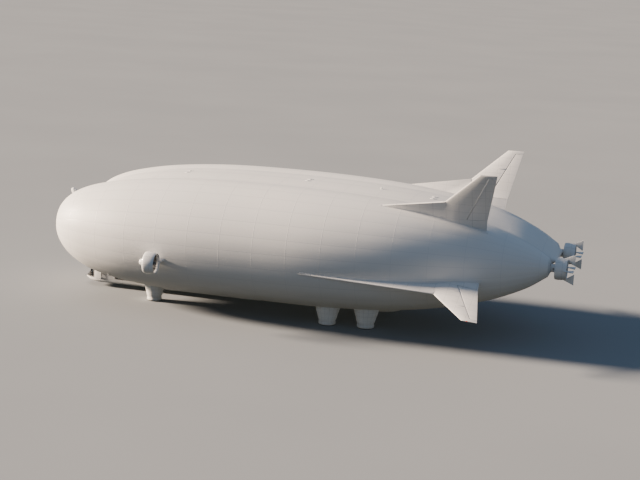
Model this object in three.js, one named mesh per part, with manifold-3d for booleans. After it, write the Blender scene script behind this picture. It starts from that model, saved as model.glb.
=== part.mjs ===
// Hybrid airship on its landing legs, a scale model at 1:10.
// Twin lobes at the bow merge into one wide hull. It has four fins with hinged
// control surfaces, four ducted propulsors and a cabin slung below the hull.
// Every table is in metres of the full-size ship: x forward, y to port, z up,
// with z = 0 on the ground and x = 0 halfway along. M turns them into millimetres.
import * as THREE from "three";
import { mergeVertices } from "three/addons/utils/BufferGeometryUtils.js";
import Module from "manifold-3d";

const wasm = await Module();
wasm.setup();

// Scale and clearances
const SCALE = 10;
const M = 1000 / SCALE;
const FIT = 0.3 / M;
const CLEAR = 5.5 / M;
const SKIN = 10 / M;
// The hull tables start from a point this far behind the middle of the whole length
const MIDDLE = 0.35;

const airship = new THREE.Group();
airship.name = "airship";

// Colours and finishes
const finish = (color, roughness, metalness) => ({ color, roughness, metalness });
const FINISHES = {
  fabric: finish(0xe9e7e2, 0.5, 0),
  fin: finish(0xe6e4df, 0.42, 0),
  panel: finish(0xdadbdc, 0.38, 0.1),
  leg: finish(0xdcdad4, 0.6, 0),
  dark: finish(0x23262b, 0.45, 0.3),
  metal: finish(0x8d9094, 0.35, 0.85),
  glass: finish(0x1b242c, 0.08, 0),
  cushion: finish(0x2f343c, 0.85, 0),
};

// Solids: three.js shapes to closed solids and back
function solidOf(geometry) {
  geometry.deleteAttribute("normal");
  geometry.deleteAttribute("uv");
  const merged = mergeVertices(geometry, 1e-6);
  const triVerts = new Uint32Array(merged.index.array);
  const vertProperties = new Float32Array(merged.attributes.position.array);
  const solid = new wasm.Manifold(new wasm.Mesh({ numProp: 3, vertProperties, triVerts }));
  if (solid.volume() > 0) return solid;
  triVerts.reverse();
  return new wasm.Manifold(new wasm.Mesh({ numProp: 3, vertProperties, triVerts }));
}

function geometryOf(solid) {
  const mesh = solid.getMesh();
  const geometry = new THREE.BufferGeometry();
  geometry.setAttribute("position", new THREE.BufferAttribute(mesh.vertProperties, 3));
  geometry.setIndex(new THREE.BufferAttribute(mesh.triVerts, 1));
  return geometry;
}

// A solid made in full-size metres becomes one named piece of the model
function addPiece(name, solid, finishName) {
  const geometry = geometryOf(solid).translate(MIDDLE, 0, 0).scale(M, M, M);
  geometry.computeVertexNormals();
  const piece = new THREE.Mesh(geometry, new THREE.MeshStandardMaterial(FINISHES[finishName]));
  piece.name = name;
  airship.add(piece);
}

const union = (solids) => solids.reduce((whole, next) => whole.add(next));
const largest = (solid) => solid.decompose().sort((a, b) => b.volume() - a.volume())[0];

// A skin through rings of equal point count, closed at each end by a fan
// Each four-sided patch is split so that a shape alike to port and starboard stays so
function loft(rings) {
  const count = rings[0].length;
  const points = rings.flat();
  const middle = (ring) => ring.reduce((sum, p) => sum.add(p), new THREE.Vector3()).divideScalar(count);
  points.push(middle(rings[0]), middle(rings.at(-1)));
  const [first, last] = [points.length - 2, points.length - 1];
  const index = [];
  const lastRing = (rings.length - 1) * count;
  for (let i = 0; i < count; i++) {
    const next = (i + 1) % count;
    index.push(first, next, i, last, lastRing + i, lastRing + next);
    for (let r = 0; r < lastRing; r += count) {
      const [a, b, c, d] = [r + i, r + next, r + count + next, r + count + i];
      const outward = Math.abs(points[a].y) > Math.abs(points[b].y);
      index.push(...(outward ? [a, b, d, b, c, d] : [a, b, c, a, c, d]));
    }
  }
  const geometry = new THREE.BufferGeometry().setFromPoints(points);
  geometry.setIndex(index);
  return solidOf(geometry);
}

const box = (from, to) => {
  const low = new THREE.Vector3(...from);
  const size = new THREE.Vector3(...to).sub(low);
  const geometry = new THREE.BoxGeometry(size.x, size.y, size.z);
  geometry.translate(low.x + size.x / 2, low.y + size.y / 2, low.z + size.z / 2);
  return solidOf(geometry);
};

// A turned shape: profile rows are [along, radius], turned about the x axis
function turned(profile, sides) {
  const outline = profile.map(([along, radius]) => new THREE.Vector2(radius, along));
  const geometry = new THREE.LatheGeometry(outline, sides);
  geometry.rotateZ(-Math.PI / 2);
  return solidOf(geometry);
}

// A round bar from one point to another
const BAR_SIDES = 16;
function bar(from, to, radius) {
  const start = new THREE.Vector3(...from);
  const reach = new THREE.Vector3(...to).sub(start);
  const geometry = new THREE.CylinderGeometry(radius, radius, reach.length(), BAR_SIDES);
  geometry.translate(0, reach.length() / 2, 0);
  const turn = new THREE.Quaternion().setFromUnitVectors(new THREE.Vector3(0, 1, 0), reach.normalize());
  geometry.applyQuaternion(turn);
  geometry.translate(start.x, start.y, start.z);
  return solidOf(geometry);
}

// A faceted bore whose flats clear a faceted bar of this radius however it turns
const boreFor = (radius) => (radius + FIT) / Math.cos(Math.PI / BAR_SIDES);

const SIDES = [["port", 1], ["starboard", -1]];

// A piece made on the port side, mirrored for starboard
function addBothSides(name, portSolid, finishName) {
  for (const [side, sign] of SIDES) {
    const solid = sign > 0 ? portSolid : portSolid.mirror([0, 1, 0]);
    addPiece(`${name}_${side}`, solid, finishName);
  }
}

// Hull: two side lobes and a centre lobe, each a loft through this table
// columns: x, y of the middle, z of the middle, half width, height up, depth down
const SIDE_LOBE = [
  [48.7, 8.9, 13.9, 0, 0, 0],
  [48.4, 8.9, 13.9, 1.9, 1.9, 1.9],
  [47.3, 8.9, 13.9, 4.4, 4.2, 4.3],
  [44.5, 9, 13.9, 7, 6.35, 6.8],
  [39.8, 9.3, 14, 9, 7.95, 8.9],
  [32, 9.7, 14.1, 10.6, 9.35, 10.2],
  [21, 10, 14.3, 11.3, 10.15, 10.9],
  [8, 10.1, 14.4, 11.4, 10.35, 11],
  [-5, 10.1, 14.5, 11.1, 10.1, 11],
  [-17, 9.8, 14.6, 10, 9.35, 10.4],
  [-27, 9.2, 14.7, 8.2, 8, 9],
  [-35, 8.5, 14.7, 6, 6.1, 6.9],
  [-41, 7.7, 14.6, 3.7, 3.8, 4.3],
  [-44.8, 7.2, 14.5, 1.7, 1.7, 1.7],
];
const CENTRE_LOBE = [
  [46.8, 0, 13.9, 0, 0, 0],
  [46.5, 0, 13.9, 3, 2.6, 2.6],
  [45.1, 0, 13.9, 6, 5.1, 5.2],
  [42, 0, 14, 9, 6.8, 7.6],
  [37, 0, 14.1, 12, 8.4, 9.3],
  [29, 0, 14.2, 14.5, 9.65, 10.3],
  [18, 0, 14.3, 16.3, 10.3, 10.9],
  [5, 0, 14.4, 16.8, 10.4, 11],
  [-8, 0, 14.5, 16.3, 10.1, 10.9],
  [-19, 0, 14.7, 14.6, 9.3, 10.2],
  [-28, 0, 14.9, 12.3, 8.1, 9],
  [-35, 0, 15.1, 10.1, 6.5, 7.2],
  [-40.5, 0, 15.3, 8.6, 4.6, 4.9],
  [-43.8, 0, 15.4, 6.7, 2.3, 2.3],
  [-45.9, 0, 15.4, 4.9, 0.35, 0.35],
];
const SIDE_POWER = 2;
const CENTRE_POWER = 2.6;
const HULL_SIDES = 20;
const STATIONS_PER_ROW = 2;
const BOW_TIP = 0.02;

// One ring of a lobe: a superellipse whose upper and lower halves differ
// middle is its centre, and size holds its half width, height up and depth down
function lobeRing(middle, size, power, grow) {
  const ring = [];
  for (let i = 0; i < HULL_SIDES; i++) {
    const angle = (2 * Math.PI * i) / HULL_SIDES;
    const round = (value) => Math.sign(value) * Math.abs(value) ** (2 / power);
    const high = Math.sin(angle) > 0 ? size.y : size.z;
    const across = round(Math.cos(angle)) * (size.x + grow);
    const rise = round(Math.sin(angle)) * (high + grow);
    ring.push(new THREE.Vector3(middle.x, middle.y + across, middle.z + rise));
  }
  return ring;
}

// A lobe grown outwards by grow, or shrunk where grow is negative
function lobe(table, power, grow) {
  const curveThrough = (points) => new THREE.CatmullRomCurve3(points, false, "catmullrom");
  const middles = curveThrough(table.map((row) => new THREE.Vector3(...row.slice(0, 3))));
  const sizes = curveThrough(table.map((row) => new THREE.Vector3(...row.slice(3))));
  const steps = (table.length - 1) * STATIONS_PER_ROW;
  const rings = [];
  for (let step = 0; step <= steps; step++) {
    const middle = middles.getPoint(step / steps);
    const size = sizes.getPoint(step / steps);
    const end = step === 0 ? grow : step === steps ? -grow : 0;
    if (step === 0) size.setScalar(BOW_TIP);
    middle.x += end;
    rings.push(lobeRing(middle, size, power, step === 0 ? 0 : grow));
  }
  return loft(rings);
}

function hull(grow) {
  const side = lobe(SIDE_LOBE, SIDE_POWER, grow);
  return union([side, side.mirror([0, 1, 0]), lobe(CENTRE_LOBE, CENTRE_POWER, grow)]);
}

const hullOutside = hull(0);
const hullKeepOut = hull(FIT);

// The gas space opens through a neck under the cabin roof
const NECK = { x: [14, 17], y: [-0.8, 0.8], z: [1, 8] };
const neck = box([NECK.x[0], NECK.y[0], NECK.z[0]], [NECK.x[1], NECK.y[1], NECK.z[1]]);
addPiece("envelope", largest(hullOutside.subtract(hull(-SKIN)).subtract(neck)), "fabric");

// Fins: outline rows are [forward of the trailing edge's root, out from it]
const UPPER_FIN = {
  name: "upper",
  root: [-33.7, 11.5, 21.3],
  chord: [1, 0, 0],
  span: [0, 0.478, 0.878],
  outline: [[0, -2], [-0.28, 1.6], [-2.1, 11.6], [0.9, 11.5], [7.2, 5], [18.8, 2.75], [18.8, -2]],
  hinge: [[3.1, 1.6], [-0.75, 10.9]],
};
const LOWER_FIN = {
  name: "lower",
  root: [-33.6, 15.2, 11.7],
  chord: [0.9984, 0, 0.0558],
  span: [0.0192, 0.939, -0.3434],
  outline: [[0, -2], [-0.28, 1.6], [-2.1, 11.6], [0.5, 11.6], [6.9, 5.1], [30.8, 6.1], [30.8, -2]],
  hinge: [[3.1, 1.6], [-0.85, 10.9]],
};
const FIN_THICK_ROOT = 0.9;
const FIN_THICK_TIP = 0.34;
const FIN_SPAN = 11.6;
const TIP_CAP = 0.05;
const STRAKE_THICK = 0.34;
const STRAKE_LAP = 2;
// how far the blade's hidden leading edge runs forward for each metre inboard of the kink
const HIDDEN_SWEEP = 0.35;
const SURFACE_NOSE = 0.36;
const TRAILING_HALF = 0.03;
const SLOT = { behind: -6, depth: 2 };
const HINGE_PIN = { radius: 0.08, length: 0.3 };

const finThickness = (out) => THREE.MathUtils.lerp(FIN_THICK_ROOT, FIN_THICK_TIP, Math.max(out, 0) / FIN_SPAN);

// From the fin's own plane to the ship
function finMatrix(fin) {
  const chord = new THREE.Vector3(...fin.chord).normalize();
  const span = new THREE.Vector3(...fin.span).normalize();
  const normal = new THREE.Vector3().crossVectors(chord, span);
  return new THREE.Matrix4().makeBasis(chord, span, normal).setPosition(...fin.root);
}

// A lens section from the leading edge to the trailing edge at one span station
function lensRing(leading, trailing, out, thick) {
  const chord = leading - trailing;
  const edge = 0.05;
  // columns: share of the chord from the leading edge, share of the half thickness
  const rows = [[0, 0.12], [0.12, 0.62], [0.35, 1], [0.7, 0.72], [1, 0.1]];
  const half = Math.max(thick / 2, edge);
  const point = (share, high) => new THREE.Vector3(leading - chord * share, out, high * half);
  const upper = rows.map(([share, part]) => point(share, part));
  const lower = rows.map(([share, part]) => point(share, -part)).reverse();
  return [...upper, ...lower];
}

// Where a fin's outline crosses one span station
function finEdges(fin, out) {
  const [rootEdge, lowTrailing, tipTrailing, tipLeading, kink, strake] = fin.outline;
  const between = (a, b) => a[0] + ((out - a[1]) / (b[1] - a[1])) * (b[0] - a[0]);
  const trailing = out < lowTrailing[1] ? between(rootEdge, lowTrailing) : between(lowTrailing, tipTrailing);
  const leading = out >= kink[1] ? between(kink, tipLeading) : strake[0];
  return { leading, trailing };
}

function extrudedOutline(rows, depth) {
  const shape = new THREE.Shape(rows.map(([x, y]) => new THREE.Vector2(x, y)));
  const geometry = new THREE.ExtrudeGeometry(shape, { depth, bevelEnabled: false });
  geometry.translate(0, 0, -depth / 2);
  return solidOf(geometry);
}

function hingePoint(fin, out) {
  const [[lowX, lowOut], [highX, highOut]] = fin.hinge;
  return lowX + ((out - lowOut) / (highOut - lowOut)) * (highX - lowX);
}

for (const fin of [UPPER_FIN, LOWER_FIN]) {
  const [, lowOut] = fin.hinge[0];
  const [, highOut] = fin.hinge[1];
  const kink = fin.outline[4];
  const strake = fin.outline[5];
  const rootOut = fin.outline[0][1];
  const bladeStations = [rootOut, lowOut, kink[1], highOut, FIN_SPAN - TIP_CAP];
  const blade = loft(bladeStations.map((out) => {
    const { trailing } = finEdges(fin, out);
    const foot = kink[0] + (kink[1] - out) * HIDDEN_SWEEP;
    const leading = out >= kink[1] ? finEdges(fin, out).leading : foot;
    return lensRing(leading, trailing, out, finThickness(out));
  }));
  const strakeOutline = [[kink[0] - STRAKE_LAP, rootOut], kink, strake, [strake[0], rootOut]];
  const strakePlate = extrudedOutline(strakeOutline, STRAKE_THICK);

  // The control surface turns about a line near its round front edge
  const nose = (out) => finThickness(out) * SURFACE_NOSE;
  const surfaceRing = (out) => {
    const { trailing } = finEdges(fin, out);
    const hinge = hingePoint(fin, out);
    const radius = nose(out);
    const ring = [];
    for (let i = 0; i <= 6; i++) {
      const angle = -Math.PI / 2 + (Math.PI * i) / 6;
      ring.push(new THREE.Vector3(hinge + Math.cos(angle) * radius, out, -Math.sin(angle) * radius));
    }
    for (const side of [-1, 1]) ring.push(new THREE.Vector3(trailing, out, side * TRAILING_HALF));
    return ring;
  };
  const surfaceLow = lowOut + CLEAR;
  const surfaceHigh = highOut - CLEAR;
  const pinEnd = (out) => [hingePoint(fin, out), out, 0];
  const pinReach = [lowOut - HINGE_PIN.length, highOut + HINGE_PIN.length];
  const pin = bar(pinEnd(pinReach[0]), pinEnd(pinReach[1]), HINGE_PIN.radius);
  const bore = bar(pinEnd(pinReach[0] - FIT), pinEnd(pinReach[1] + FIT), boreFor(HINGE_PIN.radius));
  const surface = loft([surfaceRing(surfaceLow), surfaceRing(surfaceHigh)]).add(pin);

  // The fixed fin keeps a full-chord strip at its root and at its tip
  const front = (out) => hingePoint(fin, out) + nose(out) + CLEAR;
  const slotOutline = [
    [front(lowOut), lowOut], [front(highOut), highOut], [SLOT.behind, highOut], [SLOT.behind, lowOut],
  ];
  const slot = extrudedOutline(slotOutline, SLOT.depth);
  const place = finMatrix(fin).elements;
  const fixed = blade.add(strakePlate).subtract(slot).subtract(bore).transform(place).subtract(hullKeepOut);
  addBothSides(`fin_${fin.name}`, largest(fixed), "fin");
  addBothSides(`ruddervator_${fin.name}`, surface.transform(place), "fin");
}

// Ducted propulsors: x is measured forward from the propeller's plane
const DUCT = { front: 1.35, back: -0.75, inner: 1.62, outer: 2 };
const NACELLE = { radius: 0.72, back: 0.25, wall: 0.1, boat: 0.72 };
// columns: distance behind the nacelle's front, share of its radius
const INLET_NOSE = [[0, 0.55], [0.12, 0.68], [0.55, 0.92], [1.05, 1]];
const BUTT_NOSE = [[0, 1]];
const PROPELLER = {
  tip: 1.555, hub: 0.42, blades: 3, chord: 0.42, spinner: 0.75, shaft: 0.12, depth: 0.3,
};
const STRUTS = { count: 4, at: 0.75, chord: 0.5, thick: 0.14, sunk: 0.1 };
const ROUND_SIDES = 20;

// columns: share of the length from the front lip, radius as inner or outer share
function ductRing() {
  const length = DUCT.front - DUCT.back;
  const wall = DUCT.outer - DUCT.inner;
  const rows = [
    [0, 0.45], [0.03, 0.12], [0.16, 0], [0.85, 0], [1, 0.32],
    [1, 0.45], [0.55, 0.95], [0.2, 1], [0.03, 0.8],
  ];
  const profile = rows.map(([share, part]) => [DUCT.front - share * length, DUCT.inner + part * wall]);
  profile.push(profile[0]);
  return turned(profile.reverse(), ROUND_SIDES);
}

function strut(turn) {
  const foot = NACELLE.radius * Math.cos(Math.PI / ROUND_SIDES) + FIT;
  const length = DUCT.inner + STRUTS.sunk - foot;
  const geometry = new THREE.BoxGeometry(STRUTS.chord, STRUTS.thick, length);
  geometry.translate(STRUTS.at, 0, foot + length / 2);
  geometry.rotateX(turn);
  return solidOf(geometry);
}

function duct(strutTurn) {
  const solids = [ductRing()];
  for (let i = 0; i < STRUTS.count; i++) solids.push(strut(strutTurn + (2 * Math.PI * i) / STRUTS.count));
  return union(solids);
}

// A nacelle is a hollow pod; its front is either an inlet or butts on its mount
function nacelle(front, nose) {
  const { radius, back, wall } = NACELLE;
  const bore = PROPELLER.shaft + FIT;
  const inside = radius - wall;
  const bulkhead = back + PROPELLER.depth + NACELLE.wall / 2;
  const outer = nose.map(([along, share]) => [front - along, radius * share]);
  const inner = nose.map(([along, share]) => [front - along, radius * share - wall]).reverse();
  const rear = [
    [bulkhead, radius], [back, radius * NACELLE.boat], [back, bore], [bulkhead, bore], [bulkhead, inside],
  ];
  return turned([...outer, ...rear, ...inner, outer[0]], ROUND_SIDES);
}

// The engine is one plain block whose long edges rest on the nacelle's inside
function engine(front, length) {
  const inside = (NACELLE.radius - NACELLE.wall) * Math.cos(Math.PI / ROUND_SIDES);
  const half = (inside - FIT) * Math.SQRT1_2;
  return box([front - length, -half, -half], [front, half, half]);
}

function propeller() {
  const { tip, hub, blades, chord, spinner, shaft, depth } = PROPELLER;
  const front = NACELLE.back - CLEAR;
  const body = turned([
    [-spinner, 0], [-spinner * 0.85, hub * 0.4], [-spinner * 0.45, hub * 0.82], [-0.15, hub],
    [front, hub], [front, shaft], [front + depth, shaft], [front + depth, 0],
  ], ROUND_SIDES);
  const solids = [body];
  // columns: radius, chord share, thickness, pitch angle in degrees
  const rows = [[0.25, 0.7, 0.11, 58], [0.7, 1, 0.08, 40], [1.15, 0.95, 0.055, 29], [tip, 0.55, 0.03, 22]];
  for (let blade = 0; blade < blades; blade++) {
    const rings = rows.map(([radius, share, thick, pitch]) => {
      const half = (chord * share) / 2;
      const corners = [
        [half, 0], [half * 0.3, thick / 2], [-half, 0.01], [-half, -0.01], [half * 0.3, -thick / 2],
      ];
      const lean = THREE.MathUtils.degToRad(90 - pitch);
      const around = (2 * Math.PI * blade) / blades;
      return corners.map(([along, side]) => {
        const x = along * Math.cos(lean) - side * Math.sin(lean);
        const y = along * Math.sin(lean) + side * Math.cos(lean);
        return new THREE.Vector3(x, y, radius).applyAxisAngle(new THREE.Vector3(1, 0, 0), around);
      });
    });
    solids.push(loft(rings));
  }
  return union(solids);
}

// Stern propulsors, each at the tip of a side lobe
const REAR = { x: -47.35, y: 7.2, z: 14.5, front: 2.02, engineFront: 1.87, engine: 1.1 };
// vane outline, columns: forward of the propeller's plane, out from its axis
const VANE = [[0.1, 1.8], [-0.3, 2.02], [-2.05, 2.75], [-2.05, 0.75], [-0.9, 1.5], [-0.55, 1.72]];
const VANE_THICK = 0.12;

const rearDuct = [duct(Math.PI / 4)];
for (let i = 0; i < 4; i++) {
  const vane = extrudedOutline(VANE, VANE_THICK);
  rearDuct.push(vane.rotate([(360 * i) / 4, 0, 0]));
}
const rearPlace = [REAR.x, REAR.y, REAR.z];
addBothSides("rear_duct", union(rearDuct).translate(rearPlace), "panel");
addBothSides("rear_nacelle", nacelle(REAR.front, BUTT_NOSE).translate(rearPlace), "panel");
addBothSides("rear_engine", engine(REAR.engineFront, REAR.engine).translate(rearPlace), "metal");
addBothSides("rear_propeller", propeller().translate(rearPlace), "dark");
const lobeEnd = SIDE_LOBE.at(-1);
const mountFront = lobeEnd[0] - FIT;
const mountBack = REAR.x + REAR.front + FIT;
const mount = turned([
  [mountBack, 0], [mountBack, NACELLE.radius], [mountFront, lobeEnd[3]], [mountFront, 0],
], ROUND_SIDES).translate([0, REAR.y, REAR.z]);
addBothSides("tail_mount", largest(mount.subtract(hullKeepOut)), "panel");

// Forward propulsors, which tilt on a trunnion at the end of a pylon
const FORWARD = { x: 23.9, y: 23.75, z: 11, front: 2.4, engineFront: 1.34, engine: 0.72 };
// the trunnion lies ahead of the propeller's plane, and starts inside the duct's wall
const TRUNNION = { radius: 0.2, length: 0.5, ahead: 0.3, sunk: 0.12 };
const PYLON = { chord: 2.6, thick: 0.9, inner: 18, flare: 1.5, sides: 16 };
const ductInboard = FORWARD.y - DUCT.outer * Math.cos(Math.PI / ROUND_SIDES);
const trunnionEnd = FORWARD.y - DUCT.outer - TRUNNION.length;
const trunnionAt = (y) => [FORWARD.x + TRUNNION.ahead, y, FORWARD.z];
const trunnion = bar(trunnionAt(ductInboard + TRUNNION.sunk), trunnionAt(trunnionEnd), TRUNNION.radius);
const forwardPlace = [FORWARD.x, FORWARD.y, FORWARD.z];
addBothSides("front_duct", duct(Math.PI / 4).translate(forwardPlace).add(trunnion), "panel");
addBothSides("front_nacelle", nacelle(FORWARD.front, INLET_NOSE).translate(forwardPlace), "panel");
addBothSides("front_engine", engine(FORWARD.engineFront, FORWARD.engine).translate(forwardPlace), "metal");
addBothSides("front_propeller", propeller().translate(forwardPlace), "dark");

const pylonRing = (y, grow) => {
  const ring = [];
  for (let i = 0; i < PYLON.sides; i++) {
    const angle = (2 * Math.PI * i) / PYLON.sides;
    const middle = new THREE.Vector3(...trunnionAt(y));
    const across = Math.cos(angle) * (PYLON.chord / 2) * grow;
    ring.push(middle.add(new THREE.Vector3(across, 0, -Math.sin(angle) * (PYLON.thick / 2) * grow)));
  }
  return ring;
};
const pylonEnd = FORWARD.y - DUCT.outer - CLEAR;
const pylonBody = loft([pylonRing(PYLON.inner, PYLON.flare), pylonRing(pylonEnd, 1)]);
const socket = bar(trunnionAt(trunnionEnd - FIT), trunnionAt(FORWARD.y), boreFor(TRUNNION.radius));
addBothSides("front_pylon", pylonBody.subtract(socket).subtract(hullKeepOut), "panel");

// Landing legs: squat, round and narrower at the foot
// top and foot are the radii at the hull and at the foot
const LEGS = [
  { name: "front_leg", x: 29.3, y: 7.7, top: 1.95, foot: 1.4 },
  { name: "middle_leg", x: -5.5, y: 10, top: 2.25, foot: 1.6 },
  { name: "rear_leg", x: -12.6, y: 9.2, top: 2.25, foot: 1.6 },
];
const LEG_REACH = 7.5;
const LEG_SHOULDER = 3.2;
const SOLE = 0.9;

function leg({ x, y, top, foot }) {
  // columns: height, radius
  const profile = [
    [0, 0], [0, foot * SOLE], [0.18, foot], [0.55, foot], [0.75, foot * 0.95],
    [LEG_SHOULDER, top], [LEG_REACH, top], [LEG_REACH, 0],
  ];
  const upright = turned(profile, ROUND_SIDES).rotate([0, -90, 0]).translate([x, y, 0]);
  return largest(upright.subtract(hullKeepOut));
}

for (const row of LEGS) addBothSides(row.name, leg(row), "leg");

// Cabin below the hull, with the flight deck's raked nose under the bow
// columns: x, half width, height of its underside, height of its top
const CABIN = [
  [46.2, 0.9, 1.35, 1.75], [45.6, 1.5, 1.1, 2.5], [44.7, 2.05, 0.95, 3.5], [43.2, 2.4, 0.8, 4.9],
  [40.5, 2.4, 0.8, 8], [12, 2.4, 0.8, 8], [8, 2.2, 1, 8], [4.5, 1.6, 1.7, 8], [2.5, 0.8, 2.6, 8],
];
const CABIN_WALL = 0.12;
const CORNER = 0.5;

function cabinBody(shrink) {
  return loft(CABIN.map(([x, half, bottom, top], row) => {
    const wide = half - shrink;
    const low = bottom + shrink;
    const high = top - shrink;
    const end = row === 0 ? -shrink : row === CABIN.length - 1 ? shrink : 0;
    const corner = Math.min(CORNER, wide * 0.6, (high - low) * 0.4);
    const ring = [];
    for (const side of [1, -1]) {
      const arc = [];
      for (let i = 0; i <= 3; i++) {
        const angle = (Math.PI / 2) * (i / 3);
        const y = side * (wide - corner + corner * Math.sin(angle));
        arc.push(new THREE.Vector3(x + end, y, low + corner - corner * Math.cos(angle)));
      }
      arc.push(new THREE.Vector3(x + end, side * wide, high - corner));
      arc.push(new THREE.Vector3(x + end, side * (wide - corner), high));
      ring.push(...(side > 0 ? arc : arc.reverse()));
    }
    return ring;
  }));
}

const cabinOutside = cabinBody(0).subtract(hullKeepOut);
const cabinInside = cabinBody(CABIN_WALL).subtract(hull(CABIN_WALL + FIT));
const GLASS = 0.05;
// columns: x from, x to, height from, height to
const WINDSCREEN = [44.2, 46.5, 1.75, 4.2];
const SIDE_WINDOW = [13, 39.6, 1.85, 2.75];
const DOOR = { from: 41.3, to: 42.6, bottom: 1.45, top: 3.35, wall: 2.4 };

// Cuts through a side wall run between these distances from the centreline
const CUT = { inner: 1, outer: 4 };
const windscreenCut = box(
  [WINDSCREEN[0], -CUT.outer, WINDSCREEN[2]], [WINDSCREEN[1], CUT.outer, WINDSCREEN[3]],
);
const windowCut = box([SIDE_WINDOW[0], CUT.inner, SIDE_WINDOW[2]], [SIDE_WINDOW[1], CUT.outer, SIDE_WINDOW[3]]);
const doorCut = box([DOOR.from, CUT.inner, DOOR.bottom], [DOOR.to, CUT.outer, DOOR.top]);

// Door hinge: a rod on the frame in front of the door, lugs on the door
const HINGE = { x: DOOR.to, y: DOOR.wall + 0.15, rod: 0.04, lug: 0.085, lugs: [1.8, 2.95], height: 0.16 };
// the rod's end blocks and the lugs' arms start inside the wall and end just outside the rod
const BLOCK = { heights: [1.64, 3.13], thick: 0.1, length: 0.08 };
const ARM = { from: -0.25, to: -0.06 };
const mountFrom = DOOR.wall - CABIN_WALL / 4;
const mountTo = HINGE.y + 0.05;
const hingeEnd = (height) => [HINGE.x, HINGE.y, height];
const rod = bar(
  hingeEnd(BLOCK.heights[0] - BLOCK.thick / 2), hingeEnd(BLOCK.heights[1] + BLOCK.thick / 2), HINGE.rod,
);
const rodBlocks = BLOCK.heights.map((height) => box(
  [HINGE.x, mountFrom, height - BLOCK.thick / 2], [HINGE.x + BLOCK.length, mountTo, height + BLOCK.thick / 2],
));
const frameHinge = union([rod, ...rodBlocks]);
const lugs = HINGE.lugs.map((height) => {
  const barrel = bar(hingeEnd(height - HINGE.height / 2), hingeEnd(height + HINGE.height / 2), HINGE.lug);
  const arm = box(
    [HINGE.x + ARM.from, mountFrom, height - HINGE.height / 2],
    [HINGE.x + ARM.to, mountTo, height + HINGE.height / 2],
  );
  return barrel.add(arm);
});
const rodBore = bar(hingeEnd(DOOR.bottom), hingeEnd(DOOR.top), boreFor(HINGE.rod));

const leaf = box(
  [DOOR.from + CLEAR, CUT.inner, DOOR.bottom + CLEAR], [DOOR.to - CLEAR, CUT.outer, DOOR.top - CLEAR],
);
const cabinWallSolid = cabinOutside.subtract(cabinInside);
const doorLeaf = cabinWallSolid.intersect(leaf);
const door = union([doorLeaf, ...lugs]).subtract(rodBore);

const bothWays = (solid) => solid.add(solid.mirror([0, 1, 0]));
const cabinShell = cabinWallSolid
  .subtract(windscreenCut)
  .subtract(bothWays(windowCut))
  .subtract(bothWays(doorCut))
  .add(bothWays(frameHinge));
addPiece("cabin_shell", cabinShell, "panel");
addBothSides("cabin_door", door, "panel");

// Glass: strips of the cabin's own wall, thinner than the wall
const glassSkin = cabinBody(CABIN_WALL / 2 - GLASS / 2).subtract(cabinBody(CABIN_WALL / 2 + GLASS / 2));
const inset = (cut) => {
  const bounds = cut.boundingBox();
  const low = bounds.min.map((value) => value + FIT);
  const high = bounds.max.map((value) => value - FIT);
  return box(low, high);
};
addPiece("windscreen", glassSkin.intersect(inset(windscreenCut)), "glass");
addBothSides("cabin_windows", glassSkin.intersect(inset(windowCut)), "glass");

// Flight deck: two seats and a console stand on the cabin's own floor
const BELOW_FLOOR = 0.9;
const cabinWalls = cabinBody(0).subtract(cabinBody(CABIN_WALL + FIT));
const SEAT = {
  x: 43, y: 0.75, wide: 0.52, deep: 0.5, pan: 1.55, back: 2.3, thick: 0.14, stem: 0.24,
};
const seatSides = [SEAT.y - SEAT.wide / 2, SEAT.y + SEAT.wide / 2];
const seat = union([
  box([SEAT.x, seatSides[0], SEAT.pan - SEAT.thick], [SEAT.x + SEAT.deep, seatSides[1], SEAT.pan]),
  box([SEAT.x - SEAT.thick, seatSides[0], SEAT.pan - SEAT.thick], [SEAT.x, seatSides[1], SEAT.back]),
  box(
    [SEAT.x, SEAT.y - SEAT.stem / 2, BELOW_FLOOR],
    [SEAT.x + SEAT.stem, SEAT.y + SEAT.stem / 2, SEAT.pan - SEAT.thick],
  ),
]);
addBothSides("pilot_seat", largest(seat.subtract(cabinWalls)), "cushion");

const CONSOLE = { x: [44, 44.4], y: 1.5, top: 1.65 };
const consoleBlock = box([CONSOLE.x[0], -CONSOLE.y, BELOW_FLOOR], [CONSOLE.x[1], CONSOLE.y, CONSOLE.top]);
addPiece("flight_console", largest(consoleBlock.subtract(cabinWalls)), "dark");

// Aft module between the rear legs, columns: x, half width, height of its underside
const AFT_MODULE = [
  [-2, 0.9, 2.6], [-3.5, 1.8, 1.7], [-6, 2.1, 1.3], [-14, 2.1, 1.3], [-17, 1.7, 1.8], [-19, 0.8, 2.9],
];
const MODULE_TOP = 7;
const CHAMFER = { share: 0.65, rise: 0.7 };
const moduleBody = loft(AFT_MODULE.map(([x, half, bottom]) => {
  const portSide = [[1, MODULE_TOP], [1, bottom + CHAMFER.rise], [CHAMFER.share, bottom]];
  const starboardSide = portSide.map(([share, height]) => [-share, height]).reverse();
  return [...portSide, ...starboardSide].map(([share, height]) => new THREE.Vector3(x, half * share, height));
}));
addPiece("aft_module", largest(moduleBody.subtract(hullKeepOut)), "panel");

export default airship;
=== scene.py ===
# Hybrid airship on its landing legs, a scale model at 1:10
from math import copysign, cos, pi, radians, sin

import bmesh
import bpy
from mathutils import Matrix, Quaternion, Vector
from mathutils.bvhtree import BVHTree
from mathutils.kdtree import KDTree


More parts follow.
